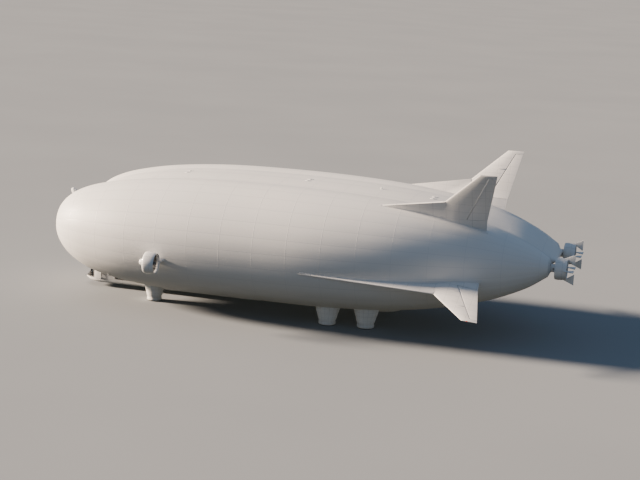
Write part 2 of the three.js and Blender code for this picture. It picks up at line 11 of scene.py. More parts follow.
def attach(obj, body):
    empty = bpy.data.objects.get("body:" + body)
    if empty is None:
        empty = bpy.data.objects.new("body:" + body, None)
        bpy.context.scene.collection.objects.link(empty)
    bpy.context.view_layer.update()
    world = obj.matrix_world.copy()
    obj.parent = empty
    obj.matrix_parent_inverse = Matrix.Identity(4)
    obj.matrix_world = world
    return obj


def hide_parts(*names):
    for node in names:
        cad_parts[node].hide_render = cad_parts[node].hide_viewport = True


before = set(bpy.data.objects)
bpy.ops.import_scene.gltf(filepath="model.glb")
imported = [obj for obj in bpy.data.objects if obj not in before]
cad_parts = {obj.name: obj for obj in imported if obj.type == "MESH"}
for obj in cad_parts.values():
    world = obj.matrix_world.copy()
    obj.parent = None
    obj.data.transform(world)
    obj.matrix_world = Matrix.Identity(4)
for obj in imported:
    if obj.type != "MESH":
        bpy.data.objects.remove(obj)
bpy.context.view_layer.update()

# Camera
# It keeps the photograph's viewpoint, high off the port side and far enough to see the
# whole hull nearly side on, and it keeps the slight slant of the photograph's frame.
EYE = Vector((-7.084, 27.515, 7.144))
AIM = Vector((-0.031, -0.026, 1.344))
SLANT = radians(3.25)
FOCAL_LENGTH = 86
FARTHEST_SEEN = 900
camera = bpy.data.objects.new("camera", bpy.data.cameras.new("camera"))
camera.data.lens = FOCAL_LENGTH
camera.data.clip_end = FARTHEST_SEEN
camera.location = EYE
camera.rotation_mode = "QUATERNION"
camera.rotation_quaternion = (AIM - EYE).to_track_quat("-Z", "Y") @ Quaternion((0, 0, 1), SLANT)
bpy.context.collection.objects.link(camera)
bpy.context.scene.camera = camera


# Floor and light
# A pale studio floor with one wide warm lamp low ahead of the nose, where the sun stands in
# the photograph. The fill light comes from a graded surround: a dark field, haze and sky.
class Finish:
    """One surface finish: patterns in the model's own metres that feed a single shader."""

    def __init__(self, name, colour, roughness, **sockets):
        self.material = bpy.data.materials.new(name)
        self.material.use_nodes = True
        self.tree = self.material.node_tree
        self.shader = self.tree.nodes["Principled BSDF"]
        self.shader.inputs["Roughness"].default_value = roughness
        for socket, value in sockets.items():
            self.shader.inputs[socket.replace("_", " ")].default_value = value
        self.place = self.add("TexCoord")
        self.colour = (*colour, 1.0)
        self.relief = None

    def feed(self, socket, value):
        if isinstance(value, bpy.types.NodeSocket):
            self.tree.links.new(value, socket)
        else:
            socket.default_value = value

    def add(self, kind, inputs=(), **settings):
        node = self.tree.nodes.new("ShaderNode" + kind)
        for name, value in settings.items():
            setattr(node, name, value)
        for socket, value in dict(inputs).items():
            self.feed(node.inputs[socket], value)
        return node

    def axis(self, name, source="Object"):
        """One coordinate: X, Y or Z in metres, or X and Y of the piece's UV map."""
        return self.add("SeparateXYZ", {0: self.place.outputs[source]}).outputs[name]

    def maths(self, operation, first, second=0.0):
        return self.add("Math", {0: first, 1: second}, operation=operation).outputs[0]

    def share(self, value, low, high):
        """0 where the value is low, 1 where it is high."""
        return self.add("MapRange", {"Value": value, "From Min": low, "From Max": high}).outputs[0]

    def grain(self, size, detail=3.0, stretch=(1, 1, 1)):
        """Soft random spots of about this size in metres, longer where stretch is over 1."""
        scale = [1 / (size * times) for times in stretch]
        where = self.add("Mapping", {"Vector": self.place.outputs["Object"], "Scale": scale})
        return self.add("TexNoise", {"Vector": where.outputs[0], "Scale": 1.0, "Detail": detail}).outputs[0]

    def pattern(self, share):
        """The pattern as it is, or a grain where its numbers are given."""
        return self.grain(*share) if isinstance(share, tuple) else share

    def lines(self, value, spacing, width):
        """1 on lines this far apart, 0 between them."""
        return self.share(self.maths("PINGPONG", value, spacing / 2), width, width / 2)

    def joints(self, along, across):
        """1 on the lines between panels, from (spacing, width) each way on the UV map."""
        ways = (("X", along), ("Y", across))
        return self.maths("MAXIMUM", *[self.lines(self.axis(name, "UV"), *way) for name, way in ways])

    def paint(self, share, colour, most=1.0):
        """Lays a colour over the last, as far as the share says and no more than most."""
        if most < 1:
            share = self.maths("MULTIPLY", share, most)
        mix = self.add("Mix", {0: share, 6: self.colour, 7: (*colour, 1.0)}, data_type="RGBA")
        self.colour = mix.outputs[2]

    def spots(self, grain, low, high, colour):
        """Lays a colour where this grain is high, fading out to where it is low."""
        self.paint(self.share(self.grain(*grain), low, high), colour)

    def polish(self, share, low, high):
        """Roughness from low to high as the share goes from 0 to 1."""
        ranged = self.add("MapRange", {"Value": self.pattern(share), "To Min": low, "To Max": high})
        self.feed(self.shader.inputs["Roughness"], ranged.outputs[0])

    def emboss(self, height, depth, strength):
        bump = self.add("Bump", {"Height": self.pattern(height), "Distance": depth, "Strength": strength})
        if self.relief:
            self.feed(bump.inputs["Normal"], self.relief)
        self.relief = bump.outputs[0]

    def made(self):
        self.feed(self.shader.inputs["Base Color"], self.colour)
        if self.relief:
            self.feed(self.shader.inputs["Normal"], self.relief)
        return self.material


def put(name, bm):
    """A new object of this shape, which is used up."""
    made = bpy.data.objects.new(name, bpy.data.meshes.new(name))
    bm.to_mesh(made.data)
    bm.free()
    bpy.context.collection.objects.link(made)
    return made


plaster = Finish("studio_floor", (0.265, 0.285, 0.305), 0.85, Specular_IOR_Level=0.1)
plaster.spots((6.0,), 0.35, 0.75, (0.285, 0.305, 0.325))
plaster.emboss((0.05,), 0.002, 0.2)

FLOOR_RADIUS = 350
bm = bmesh.new()
bmesh.ops.create_circle(bm, cap_ends=True, segments=96, radius=FLOOR_RADIUS)
floor = put("floor", bm)
floor.data.materials.append(plaster.made())
floor.visible_diffuse = False

SUN_FROM = Vector((0.951, 0.087, 0.296))
SUN_STRENGTH = 20
SUN_COLOUR = (1.0, 0.79, 0.6)
SUN_WIDTH = radians(9)
sun = bpy.data.objects.new("low_sun", bpy.data.lights.new("low_sun", "SUN"))
sun.data.energy = SUN_STRENGTH
sun.data.color = SUN_COLOUR
sun.data.angle = SUN_WIDTH
sun.rotation_mode = "QUATERNION"
sun.rotation_quaternion = SUN_FROM.to_track_quat("Z", "Y")
bpy.context.collection.objects.link(sun)

# The floor throws no light back, so the surround lights the ship from below as well.
# columns: place from straight below at 0 to straight above at 1, colour
SURROUND = [
    (0.2, (0.066, 0.06, 0.04, 1)), (0.485, (0.23, 0.217, 0.187, 1)), (0.495, (0.17, 0.235, 0.335, 1)),
]
surround = bpy.data.worlds.new("surround")
surround.use_nodes = True
sky = surround.node_tree
towards, split, rise, ramp = [
    sky.nodes.new("ShaderNode" + kind) for kind in ("TexCoord", "SeparateXYZ", "MapRange", "ValToRGB")
]
rise.inputs["From Min"].default_value = -1
stops = ramp.color_ramp.elements
stops.new(SURROUND[1][0])
for stop, (place, colour) in zip(stops, SURROUND):
    stop.position, stop.color = place, colour
for output, socket in (
    (towards.outputs["Generated"], split.inputs[0]), (split.outputs["Z"], rise.inputs["Value"]),
    (rise.outputs[0], ramp.inputs[0]), (ramp.outputs[0], sky.nodes["Background"].inputs["Color"]),
):
    sky.links.new(output, socket)
bpy.context.scene.world = surround

# Hull
# The hull is one skin of white laminated fabric over three gas lobes that press together
# along two valleys. It is cut in long gores and short hoops, with tape over each seam. Along
# each valley runs a band drawn like a tape, whose darker colour is painted shade in the crease.
# Sizes here and below are those of the full-size ship, in metres, as on a drawing.
SCALE = 10
MIDDLE = 0.35
TO_MODEL = Matrix.Scale(1 / SCALE, 4) @ Matrix.Translation((MIDDLE, 0, 0))
# columns: x, y of the middle, z of the middle, half width, height up, depth down
SIDE_LOBE = [
    (48.7, 8.9, 13.9, 0, 0, 0), (48.4, 8.9, 13.9, 1.9, 1.9, 1.9), (47.3, 8.9, 13.9, 4.4, 4.2, 4.3),
    (44.5, 9, 13.9, 7, 6.35, 6.8), (39.8, 9.3, 14, 9, 7.95, 8.9), (32, 9.7, 14.1, 10.6, 9.35, 10.2),
    (21, 10, 14.3, 11.3, 10.15, 10.9), (8, 10.1, 14.4, 11.4, 10.35, 11), (-5, 10.1, 14.5, 11.1, 10.1, 11),
    (-17, 9.8, 14.6, 10, 9.35, 10.4), (-27, 9.2, 14.7, 8.2, 8, 9), (-35, 8.5, 14.7, 6, 6.1, 6.9),
    (-41, 7.7, 14.6, 3.7, 3.8, 4.3), (-44.8, 7.2, 14.5, 1.7, 1.7, 1.7),
]
CENTRE_LOBE = [
    (46.8, 0, 13.9, 0, 0, 0), (46.5, 0, 13.9, 3, 2.6, 2.6), (45.1, 0, 13.9, 6, 5.1, 5.2),
    (42, 0, 14, 9, 6.8, 7.6), (37, 0, 14.1, 12, 8.4, 9.3), (29, 0, 14.2, 14.5, 9.65, 10.3),
    (18, 0, 14.3, 16.3, 10.3, 10.9), (5, 0, 14.4, 16.8, 10.4, 11), (-8, 0, 14.5, 16.3, 10.1, 10.9),
    (-19, 0, 14.7, 14.6, 9.3, 10.2), (-28, 0, 14.9, 12.3, 8.1, 9), (-35, 0, 15.1, 10.1, 6.5, 7.2),
    (-40.5, 0, 15.3, 8.6, 4.6, 4.9), (-43.8, 0, 15.4, 6.7, 2.3, 2.3), (-45.9, 0, 15.4, 4.9, 0.35, 0.35),
]
SIDE_POWER = 2
CENTRE_POWER = 2.6
LOBE_SIDES = 96
STATIONS = 6
BOW_TIP = 0.02
# the seams, in the model's metres along the hull and in shares of a turn round it, and how
# far the band of painted shade reaches from a valley
GORES = 24
GORE_SEAM = 0.0016
HOOP = 0.62
HOOP_TAPE = 0.007
LAST_HOOP = -7 * HOOP
VALLEY_SHADE_BAND = 0.03
# a valley's least fold, the points measured along its edges, the passes that soften it, and
# how many sides a lobe's end cap has at least, which is left sharp
VALLEY_FOLD = radians(12)
VALLEY_POINTS = 5
SOFTENINGS = 4
END_CAP = 12


def smooth_rows(rows, steps):
    """The rows, with steps - 1 more between each two on a smooth curve through all."""
    rows = [Vector(row) for row in rows]
    held = [2 * rows[0] - rows[1], *rows, 2 * rows[-1] - rows[-2]]
    smooth = []
    for a, b, c, d in zip(held, held[1:], held[2:], held[3:]):
        for step in range(steps):
            t = step / steps
            bend = (2 * a - 5 * b + 4 * c - d) * t**2 + (3 * b - 3 * c + d - a) * t**3
            smooth.append(b + ((c - a) * t + bend) / 2)
    return [*smooth, rows[-1]]


def loft(rings):
    """A closed skin through rings of points, each ring a circle drawn out to its place."""
    bm = bmesh.new()
    share = bm.verts.layers.float.new("around")
    before = []
    for points in rings:
        ring = bmesh.ops.create_circle(bm, segments=len(points), radius=1)["verts"]
        edges = list({edge for vert in ring for edge in vert.link_edges})
        for i, (vert, point) in enumerate(zip(ring, points)):
            vert.co = point
            vert[share] = i / len(points)
        if before:
            bmesh.ops.bridge_loops(bm, edges=before + edges)
        else:
            bmesh.ops.contextual_create(bm, geom=edges)
        before = edges
    bmesh.ops.contextual_create(bm, geom=before)
    bmesh.ops.recalc_face_normals(bm, faces=bm.faces)
    return bm


def turn(bm, matrix):
    bmesh.ops.transform(bm, matrix=matrix, verts=bm.verts)
    return bm


def soften(bm, verts, factor):
    bmesh.ops.smooth_vert(bm, verts=verts, factor=factor, use_axis_x=True, use_axis_y=True, use_axis_z=True)


def discard(thing):
    mesh = thing.data
    bpy.data.objects.remove(thing)
    bpy.data.meshes.remove(mesh)


def combine(operation, shape, *others):
    """Closed shapes joined, or the first cut by the others or kept only inside them."""
    for other in others:
        first, second = put("first", shape), put("second", other)
        modifier = first.modifiers.new("combine", "BOOLEAN")
        modifier.operation, modifier.solver, modifier.object = operation, "EXACT", second
        shape = bmesh.new()
        shape.from_object(first, bpy.context.evaluated_depsgraph_get())
        discard(first)
        discard(second)
    return shape


def lay_uv(bm, name, place, wraps=False):
    """Lays a pattern on a shape. Where it wraps round, a face on the seam goes on past 1."""
    uv = bm.loops.layers.uv.new(name)
    for face in bm.faces:
        places = [place(corner.vert) for corner in face.loops]
        rounds = [around for _, around in places]
        on_seam = wraps and max(rounds) - min(rounds) > 0.5
        for corner, (along, around) in zip(face.loops, places):
            corner[uv].uv = (along, around + 1 if on_seam and around < 0.5 else around)
    return bm


def lobe(table, power, grow, sign=1):
    """One lobe of the hull, grown outwards by grow."""
    rings = []
    for x, y, z, half, up, down in smooth_rows(table, STATIONS):
        ring = []
        for i in range(LOBE_SIDES):
            c, s = cos(2 * pi * i / LOBE_SIDES), sin(2 * pi * i / LOBE_SIDES)
            wide = max(half, BOW_TIP) + grow
            high = max(up if s > 0 else down, BOW_TIP) + grow
            across = copysign(abs(c) ** (2 / power), c) * wide
            rise = copysign(abs(s) ** (2 / power), s) * high
            ring.append(Vector((x, sign * (y + across), z + rise)))
        rings.append(ring)
    bm = loft(rings)
    # every gore keeps its share of the way round, and every hoop its place along the hull
    share = bm.verts.layers.float["around"]
    return lay_uv(bm, "gores", lambda vert: (vert.co.x / SCALE, vert[share]), True)


def hull(grow=0):
    side_lobes = [lobe(SIDE_LOBE, SIDE_POWER, grow, sign) for sign in (1, -1)]
    return combine("UNION", lobe(CENTRE_LOBE, CENTRE_POWER, grow), *side_lobes)


def piece(name, bm, body, finishes, stands_for=(), sharp=35):
    """A shape made at full size becomes one piece of the model, on its body."""
    made = put(name, turn(bm, TO_MODEL))
    for finish in finishes:
        made.data.materials.append(finish)
    made.data.shade_smooth()
    made.data.set_sharp_from_angle(angle=radians(sharp))
    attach(made, body)
    if stands_for:
        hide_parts(*stands_for)


fabric = Finish("laminated_fabric", (0.79, 0.785, 0.77), 0.5)
along, around = fabric.axis("X", "UV"), fabric.axis("Y", "UV")
gored = fabric.share(along, LAST_HOOP - 0.002, LAST_HOOP)
long_seams = fabric.maths("MULTIPLY", fabric.lines(around, 1 / GORES, GORE_SEAM), gored)
hoop_seams = fabric.lines(along, HOOP, HOOP_TAPE)
valley = fabric.add("Attribute", attribute_name="valley").outputs["Fac"]
# the band along each valley: its darker colour is painted shade in the crease
valley_shade = fabric.share(valley, VALLEY_SHADE_BAND * 1.2, VALLEY_SHADE_BAND)
seam_tape_and_valley_shade = fabric.maths("MAXIMUM", fabric.maths("MAXIMUM", long_seams, hoop_seams), valley_shade)
# streaks that darken the fabric more and more towards the bottom of the hull
darker_low_streaks = fabric.maths("MULTIPLY", fabric.share(fabric.axis("Z"), 1.0, 0.35), fabric.grain(0.5, 5, (3, 1, 1)))
fabric.spots((1.6, 4, (2, 1, 1)), 0.4, 0.75, (0.74, 0.745, 0.745))
fabric.paint(darker_low_streaks, (0.5, 0.5, 0.47), 0.45)
# the seam tapes are real; the band along each valley, in the same colour, is painted shade
fabric.paint(seam_tape_and_valley_shade, (0.62, 0.63, 0.64), 0.35)
fabric.polish(seam_tape_and_valley_shade, 0.52, 0.36)
pillow = fabric.maths("MULTIPLY", fabric.maths("PINGPONG", around, 0.5 / GORES), gored)
fabric.emboss(fabric.maths("SQRT", fabric.maths("MULTIPLY", pillow, 2 * GORES)), 0.004, 0.5)
fabric.emboss(seam_tape_and_valley_shade, 0.0012, 0.7)
fabric.emboss((0.3, 2, (3, 1, 1)), 0.01, 0.15)
fabric.emboss((0.004, 2), 0.0003, 0.25)
fabric_skin = fabric.made()

bm = hull()
away = bm.verts.layers.float.new("valley")
valleys = [edge for edge in bm.edges if edge.is_manifold and edge.calc_face_angle_signed(0) < -VALLEY_FOLD]
in_valley = {vert for edge in valleys for vert in edge.verts}
nearest = KDTree(len(valleys) * VALLEY_POINTS)
for i, edge in enumerate(valleys):
    start, end = (vert.co.copy() for vert in edge.verts)
    for part in range(VALLEY_POINTS):
        nearest.insert(start.lerp(end, part / (VALLEY_POINTS - 1)), i * VALLEY_POINTS + part)
nearest.balance()
for vert in bm.verts:
    vert[away] = nearest.find(vert.co)[2] / SCALE
quads = [face for vert in in_valley for face in vert.link_faces if len(face.verts) < END_CAP]
near = {vert for face in quads for vert in face.verts}
for _ in range(SOFTENINGS):
    soften(bm, list(near), 0.5)
# the fittings on the hull are set down on this skin
skin_tree = BVHTree.FromBMesh(bm)
piece("hull_skin", bm, "ship", [fabric_skin], ["envelope"], sharp=50)

# Fins
# Four composite fins with lens-shaped sections stand on the stern, each on a thin strake that
# runs forward along the hull. A slot behind each blade takes its control surface.
CLEAR = 0.055
FIN_THICK = (0.9, 0.34)
FIN_SPAN = 11.6
FIN_PANEL = (0.235, 0.165)
ROOT_DEPTH = 2
STRAKE_THICK = 0.34
STRAKE_EDGE = 0.1
SLOT_END = -6
HIDDEN_SWEEP = 0.35
NOSE_SHARE = 0.36
# each pair is how far forward of the trailing edge's root, and how far out from it
TRAILING = [(0, -2), (-0.28, 1.6), (-2.1, 11.6)]
FINS = {
    "upper": {
        "root": (-33.7, 11.5, 21.3), "chord": (1, 0, 0), "span": (0, 0.478, 0.878),
        "trailing": TRAILING, "leading": [(7.2, 5), (0.9, 11.5)],
        "strake": (18.8, 2.75), "hinge": [(3.1, 1.6), (-0.75, 10.9)],
    },
    "lower": {
        "root": (-33.6, 15.2, 11.7), "chord": (0.9984, 0, 0.0558), "span": (0.0192, 0.939, -0.3434),
        "trailing": TRAILING, "leading": [(6.9, 5.1), (0.5, 11.6)],
        "strake": (30.8, 6.1), "hinge": [(3.1, 1.6), (-0.85, 10.9)],
    },
}
# the lens: share of the chord from the front, share of the half thickness
LENS = [
    (0, 0.05), (0.01, 0.22), (0.03, 0.36), (0.07, 0.5), (0.12, 0.63), (0.22, 0.84),
    (0.35, 1), (0.5, 0.93), (0.7, 0.72), (0.85, 0.42), (1, 0.08),
]
# columns: how far out, share of the thickness there
BLADE_STATIONS = [
    (-2, 1), (0, 1), (1.6, 1), (3.3, 1), (5, 1), (6.6, 1), (8.2, 1), (9.8, 1), (10.9, 1),
    (11.3, 0.9), (11.48, 0.65), (11.55, 0.3),
]


def on_line(line, out):
    """How far forward a line through two (forward, out) points is, this far out."""
    (near, near_out), (far, far_out) = line
    return near + (far - near) * (out - near_out) / (far_out - near_out)


def lens_ring(leading, trailing, out, thick):
    top = [Vector((leading + (trailing - leading) * share, out, part * thick / 2)) for share, part in LENS]
    return top + [Vector((point.x, point.y, -point.z)) for point in reversed(top)]


def thickness(out):
    root, tip = FIN_THICK
    return root + (tip - root) * max(out, 0) / FIN_SPAN


def trailing_edge(fin, out):
    low, middle, tip = fin["trailing"]
    return on_line((low, middle) if out < middle[1] else (middle, tip), out)


def round_off(bm, edges, radius, segments=3):
    bmesh.ops.bevel(
        bm, geom=edges, offset=radius, affect="EDGES", segments=segments, profile=0.5, material=-1,
    )
    return bm


def plate(outline, thick, rounded=0.0):
    """A flat plate cut to an outline, centred on its own plane, with rounded edges if asked."""
    bm = bmesh.new()
    face = bm.faces.new([bm.verts.new((x, y, -thick / 2)) for x, y in outline])
    grown = bmesh.ops.extrude_face_region(bm, geom=[face])["geom"]
    verts = [part for part in grown if isinstance(part, bmesh.types.BMVert)]
    bmesh.ops.translate(bm, vec=(0, 0, thick), verts=verts)
    bmesh.ops.recalc_face_normals(bm, faces=bm.faces)
    if rounded:
        rims = [edge for edge in bm.edges if abs(edge.verts[0].co.z - edge.verts[1].co.z) < thick / 2]
        round_off(bm, rims, rounded)
    return bm


def flat_uv(bm):
    """The pattern lies flat on the piece's own plane, in metres of the model."""
    return lay_uv(bm, "flat", lambda vert: vert.co.xy / SCALE)


def mirror(bm, sign):
    """The port shape where sign is 1, and its starboard twin where it is -1."""
    bmesh.ops.scale(bm, vec=(1, sign, 1), verts=bm.verts)
    if sign < 0:
        bmesh.ops.reverse_faces(bm, faces=bm.faces)
    return bm


def both_sides(name, make, body, finishes, stands_for=(), sharp=35):
    """The port piece as made, and its mirror image to starboard."""
    for side, sign in (("port", 1), ("starboard", -1)):
        nodes = [node.format(side=side) for node in stands_for]
        piece(f"{name}_{side}", mirror(make(), sign), body.format(side=side), finishes, nodes, sharp)


satin = Finish("fin_paint", (0.8, 0.79, 0.775), 0.4, Coat_Weight=0.15)
panel_joints = satin.joints((FIN_PANEL[0], 0.0035), (FIN_PANEL[1], 0.003))
cell = satin.add("CombineXYZ", {
    name: satin.maths("ROUND", satin.maths("DIVIDE", satin.axis(name, "UV"), size))
    for name, size in zip("XY", FIN_PANEL)
}).outputs[0]
satin.paint(satin.add("TexWhiteNoise", {"Vector": cell}).outputs["Value"], (0.7, 0.705, 0.71), 0.35)
satin.spots((0.35, 5, (4, 1, 1)), 0.5, 0.9, (0.66, 0.655, 0.64))
satin.paint(panel_joints, (0.4, 0.41, 0.42), 0.55)
satin.polish((0.2, 4), 0.32, 0.5)
satin.emboss(satin.maths("SUBTRACT", 1.0, panel_joints), 0.0015, 0.6)
satin.emboss((0.006, 2), 0.0003, 0.2)
fin_skin = satin.made()


def fin_place(fin):
    chord, span = Vector(fin["chord"]).normalized(), Vector(fin["span"]).normalized()
    axes = Matrix((chord, span, chord.cross(span))).transposed().to_4x4()
    return Matrix.Translation(fin["root"]) @ axes


def fixed_fin(fin):
    kink, tip_lead = fin["leading"]
    rings = []
    for out, share in BLADE_STATIONS:
        hidden = kink[0] + (kink[1] - out) * HIDDEN_SWEEP
        leading = on_line((kink, tip_lead), out) if out > kink[1] else hidden
        rings.append(lens_ring(leading, trailing_edge(fin, out), out, thickness(out) * share))
    strake_tip = fin["strake"]
    outline = [(kink[0] - 2, -ROOT_DEPTH), kink, strake_tip, (strake_tip[0], -ROOT_DEPTH)]
    whole = combine("UNION", loft(rings), plate(outline, STRAKE_THICK, STRAKE_EDGE))
    (_, low), (_, high) = fin["hinge"]
    front = [(on_line(fin["hinge"], out) + thickness(out) * NOSE_SHARE + CLEAR, out) for out in (low, high)]
    slot = plate([*front, (SLOT_END, high), (SLOT_END, low)], 2)
    return turn(flat_uv(combine("DIFFERENCE", whole, slot)), fin_place(fin))


for name, fin in FINS.items():
    node = f"fin_{name}_{{side}}"
    both_sides(f"{name}_fin", lambda: fixed_fin(fin), "ship", [fin_skin], [node], 30)

# Control surfaces
# Each fin carries one hinged composite surface with a round nose, which turns on a pin at each
# end. Its two actuators lie under small oval fairings on the outer face.
PIN = 0.08
PIN_REACH = 0.3
SURFACE_STATIONS = 6
NOSE_STEPS = 14
TRAILING_HALF = 0.03
FAIRING = (0.85, 0.1, 0.13)
FAIRING_AHEAD = 0.9
FAIRINGS_OUT = (3.6, 7.6)
FAIRING_RISE = 0.42


def gather(*shapes):
    """Separate closed shapes in one mesh."""
    whole = bmesh.new()
    for bm in shapes:
        mesh = bpy.data.meshes.new("part")
        bm.to_mesh(mesh)
        bm.free()
        whole.from_mesh(mesh)
        bpy.data.meshes.remove(mesh)
    return whole


def rod(start, end, radius, end_radius=None, steps=32):
    """A round bar or cone between two points."""
    middle, way = (Vector(start) + Vector(end)) / 2, Vector(end) - Vector(start)
    bm = bmesh.new()
    bmesh.ops.create_cone(
        bm, cap_ends=True, segments=steps, radius1=radius, radius2=end_radius or radius, depth=way.length,
        matrix=Matrix.Translation(middle) @ way.to_track_quat("Z", "Y").to_matrix().to_4x4(),
    )
    return bm


def control_surface(fin):
    (_, low), (_, high) = fin["hinge"]
    rings = []
    for step in range(SURFACE_STATIONS + 1):
        out = low + CLEAR + (high - low - 2 * CLEAR) * step / SURFACE_STATIONS
        hinge, radius = on_line(fin["hinge"], out), thickness(out) * NOSE_SHARE
        angles = [pi / 2 - pi * i / NOSE_STEPS for i in range(NOSE_STEPS + 1)]
        ring = [(hinge + cos(angle) * radius, sin(angle) * radius) for angle in angles]
        ring += [(trailing_edge(fin, out), half) for half in (-TRAILING_HALF, TRAILING_HALF)]
        rings.append([Vector((forward, out, up)) for forward, up in ring])
    ends = (low - PIN_REACH, high + PIN_REACH)
    pin = rod(*[(on_line(fin["hinge"], out), out, 0) for out in ends], PIN)
    return turn(flat_uv(gather(loft(rings), pin)), fin_place(fin))


for name, fin in FINS.items():
    node = f"ruddervator_{name}_{{side}}"
    both_sides(f"{name}_control_surface", lambda: control_surface(fin), node, [fin_skin], [node], 30)


def ball(size, place):
    """A round shape drawn out to a size each way."""
    bm = bmesh.new()
    bmesh.ops.create_uvsphere(bm, u_segments=24, v_segments=12, radius=1)
    bmesh.ops.scale(bm, vec=size, verts=bm.verts)
    return turn(bm, place)


def hinge_fairings(fin):
    """The two fairings, on the outer face just ahead of the surface."""
    drops = []
    for out in FAIRINGS_OUT:
        slot = on_line(fin["hinge"], out) + thickness(out) * NOSE_SHARE + CLEAR
        place = Matrix.Translation((slot + FAIRING_AHEAD, out, thickness(out) * FAIRING_RISE))
        drops.append(ball(FAIRING, place))
    return turn(flat_uv(gather(*drops)), fin_place(fin))


for name, fin in FINS.items():
    both_sides(f"{name}_actuator_fairings", lambda: hinge_fairings(fin), "ship", [fin_skin])

# Ducted propulsors
# A duct is a moulded ring of airfoil section with a dark worn liner where the blades pass.
# Four struts hold it round the pod of its engine, and a pusher propeller turns inside it.
DUCT = {"front": 1.35, "back": -0.75, "inner": 1.62, "outer": 2.0}
# columns: share of the length from the front lip, share of the wall from the inside out
DUCT_SECTION = [
    (0, 0.45), (0.006, 0.25), (0.03, 0.1), (0.08, 0.02), (0.16, 0), (0.4, 0), (0.5, 0), (0.75, 0),
    (0.9, 0.08), (0.97, 0.2), (1, 0.36), (0.995, 0.42), (0.9, 0.6), (0.75, 0.78), (0.55, 0.93),
    (0.35, 1), (0.2, 1), (0.1, 0.93), (0.03, 0.76), (0.006, 0.6),
]
LINER = (0.38, 0.72)
STRUT = {"at": 0.75, "chord": 0.5, "thick": 0.14, "outs": (0.69, 1.0, 1.3, 1.72)}
POD = {"radius": 0.72, "back": 0.25, "depth": 0.3, "wall": 0.1, "boat": 0.72, "bore": 0.125}
LOUVRE = Vector((0.035, 0.32, 0.04))
LOUVRE_PITCH = 0.07
# columns: along the pipe, radius
EXHAUST = [(0.05, 0.075), (0.05, 0.06), (-0.34, 0.06), (-0.34, 0.075)]
EXHAUST_OUT, EXHAUST_DOWN, EXHAUST_LEAN = 0.24, 0.6, radians(-40)
# columns: radius, chord, thickness, pitch in degrees
BLADE = [
    (0.25, 0.294, 0.11, 58), (0.7, 0.42, 0.08, 40), (1.15, 0.4, 0.055, 29), (1.5, 0.25, 0.034, 22.5),
    (1.555, 0.1, 0.02, 22),
]
# columns: along the shaft, radius
SPINNER = [
    (-0.75, 0), (-0.738, 0.06), (-0.69, 0.135), (-0.6, 0.22), (-0.45, 0.31), (-0.3, 0.375),
    (-0.15, 0.41), (0, 0.42),
]
SHAFT = 0.12


def turned(profile, steps=96, closed=False):
    """A shape turned about the x axis from rows of (along, radius)."""
    bm = bmesh.new()
    verts = [bm.verts.new((along, 0, radius)) for along, radius in profile]
    pairs = zip(verts, verts[1:] + verts[:1] if closed else verts[1:])
    edges = [bm.edges.new(pair) for pair in pairs]
    bmesh.ops.spin(
        bm, geom=[*verts, *edges], cent=(0, 0, 0), axis=(1, 0, 0), dvec=(0, 0, 0),
        angle=2 * pi, steps=steps, use_merge=True, use_duplicate=False,
    )
    bmesh.ops.remove_doubles(bm, verts=bm.verts, dist=1e-4)
    bmesh.ops.recalc_face_normals(bm, faces=bm.faces)
    return bm


def round_uv(bm):
    """The pattern wraps round the x axis: metres along it, and the share of a turn."""
    up = Vector((0, 1))
    turned_by = lambda vert: vert.co.yz.angle_signed(up, 0) / (2 * pi) % 1
    return lay_uv(bm, "round", lambda vert: (vert.co.x / SCALE, turned_by(vert)), True)


def speckled(name, colour, roughness, spots, shine, relief=None, **sockets):
    """A plain finish: spots of another colour, an uneven shine and a fine relief."""
    finish = Finish(name, colour, roughness, **sockets)
    finish.spots(*spots)
    finish.polish(*shine)
    if relief:
        finish.emboss(*relief)
    return finish.made()


gloss = Finish("moulded_panel_paint", (0.77, 0.775, 0.775), 0.36, Coat_Weight=0.2)
seams = gloss.joints((0.14, 0.0022), (0.125, 0.0025))
streaks = gloss.share(gloss.grain(0.05, 4, (6, 1, 1)), 0.55, 0.8)
gloss.spots((0.25, 5), 0.5, 0.85, (0.69, 0.69, 0.68))
gloss.paint(streaks, (0.55, 0.55, 0.53), 0.3)
gloss.paint(seams, (0.3, 0.31, 0.32), 0.6)
gloss.polish((0.12, 4), 0.28, 0.46)
gloss.emboss(gloss.maths("SUBTRACT", 1.0, seams), 0.001, 0.6)
gloss.emboss((0.004, 2), 0.0002, 0.2)
panel_skin = gloss.made()

duct_liner = speckled(
    "duct_liner", (0.045, 0.048, 0.052), 0.5, ((0.02, 4, (1, 6, 6)), 0.5, 0.8, (0.11, 0.11, 0.11)),
    ((0.03, 3), 0.4, 0.7), ((0.008, 3, (1, 5, 5)), 0.0006, 0.5),
)


def duct(vanes=None):
    """The ring with its liner and its four struts, and the vanes behind it if it has any."""
    length, wall = DUCT["front"] - DUCT["back"], DUCT["outer"] - DUCT["inner"]
    rows = [(DUCT["front"] - share * length, DUCT["inner"] + part * wall) for share, part in DUCT_SECTION]
    ring = turned(rows, closed=True)
    low, high = (DUCT["front"] - share * length for share in reversed(LINER))
    for face in ring.faces:
        middle = face.calc_center_median()
        if low < middle.x < high and middle.yz.length < DUCT["inner"] + 0.02:
            face.material_index = 1
    parts = [ring]
    front, back = STRUT["at"] + STRUT["chord"] / 2, STRUT["at"] - STRUT["chord"] / 2
    for i in range(4):
        rings = [lens_ring(front, back, out, STRUT["thick"]) for out in STRUT["outs"]]
        parts.append(turn(loft(rings), Matrix.Rotation(pi / 4 + i * pi / 2, 4, "X")))
        if vanes:
            parts.append(turn(plate(*vanes), Matrix.Rotation(i * pi / 2, 4, "X")))
    return round_uv(gather(*parts))


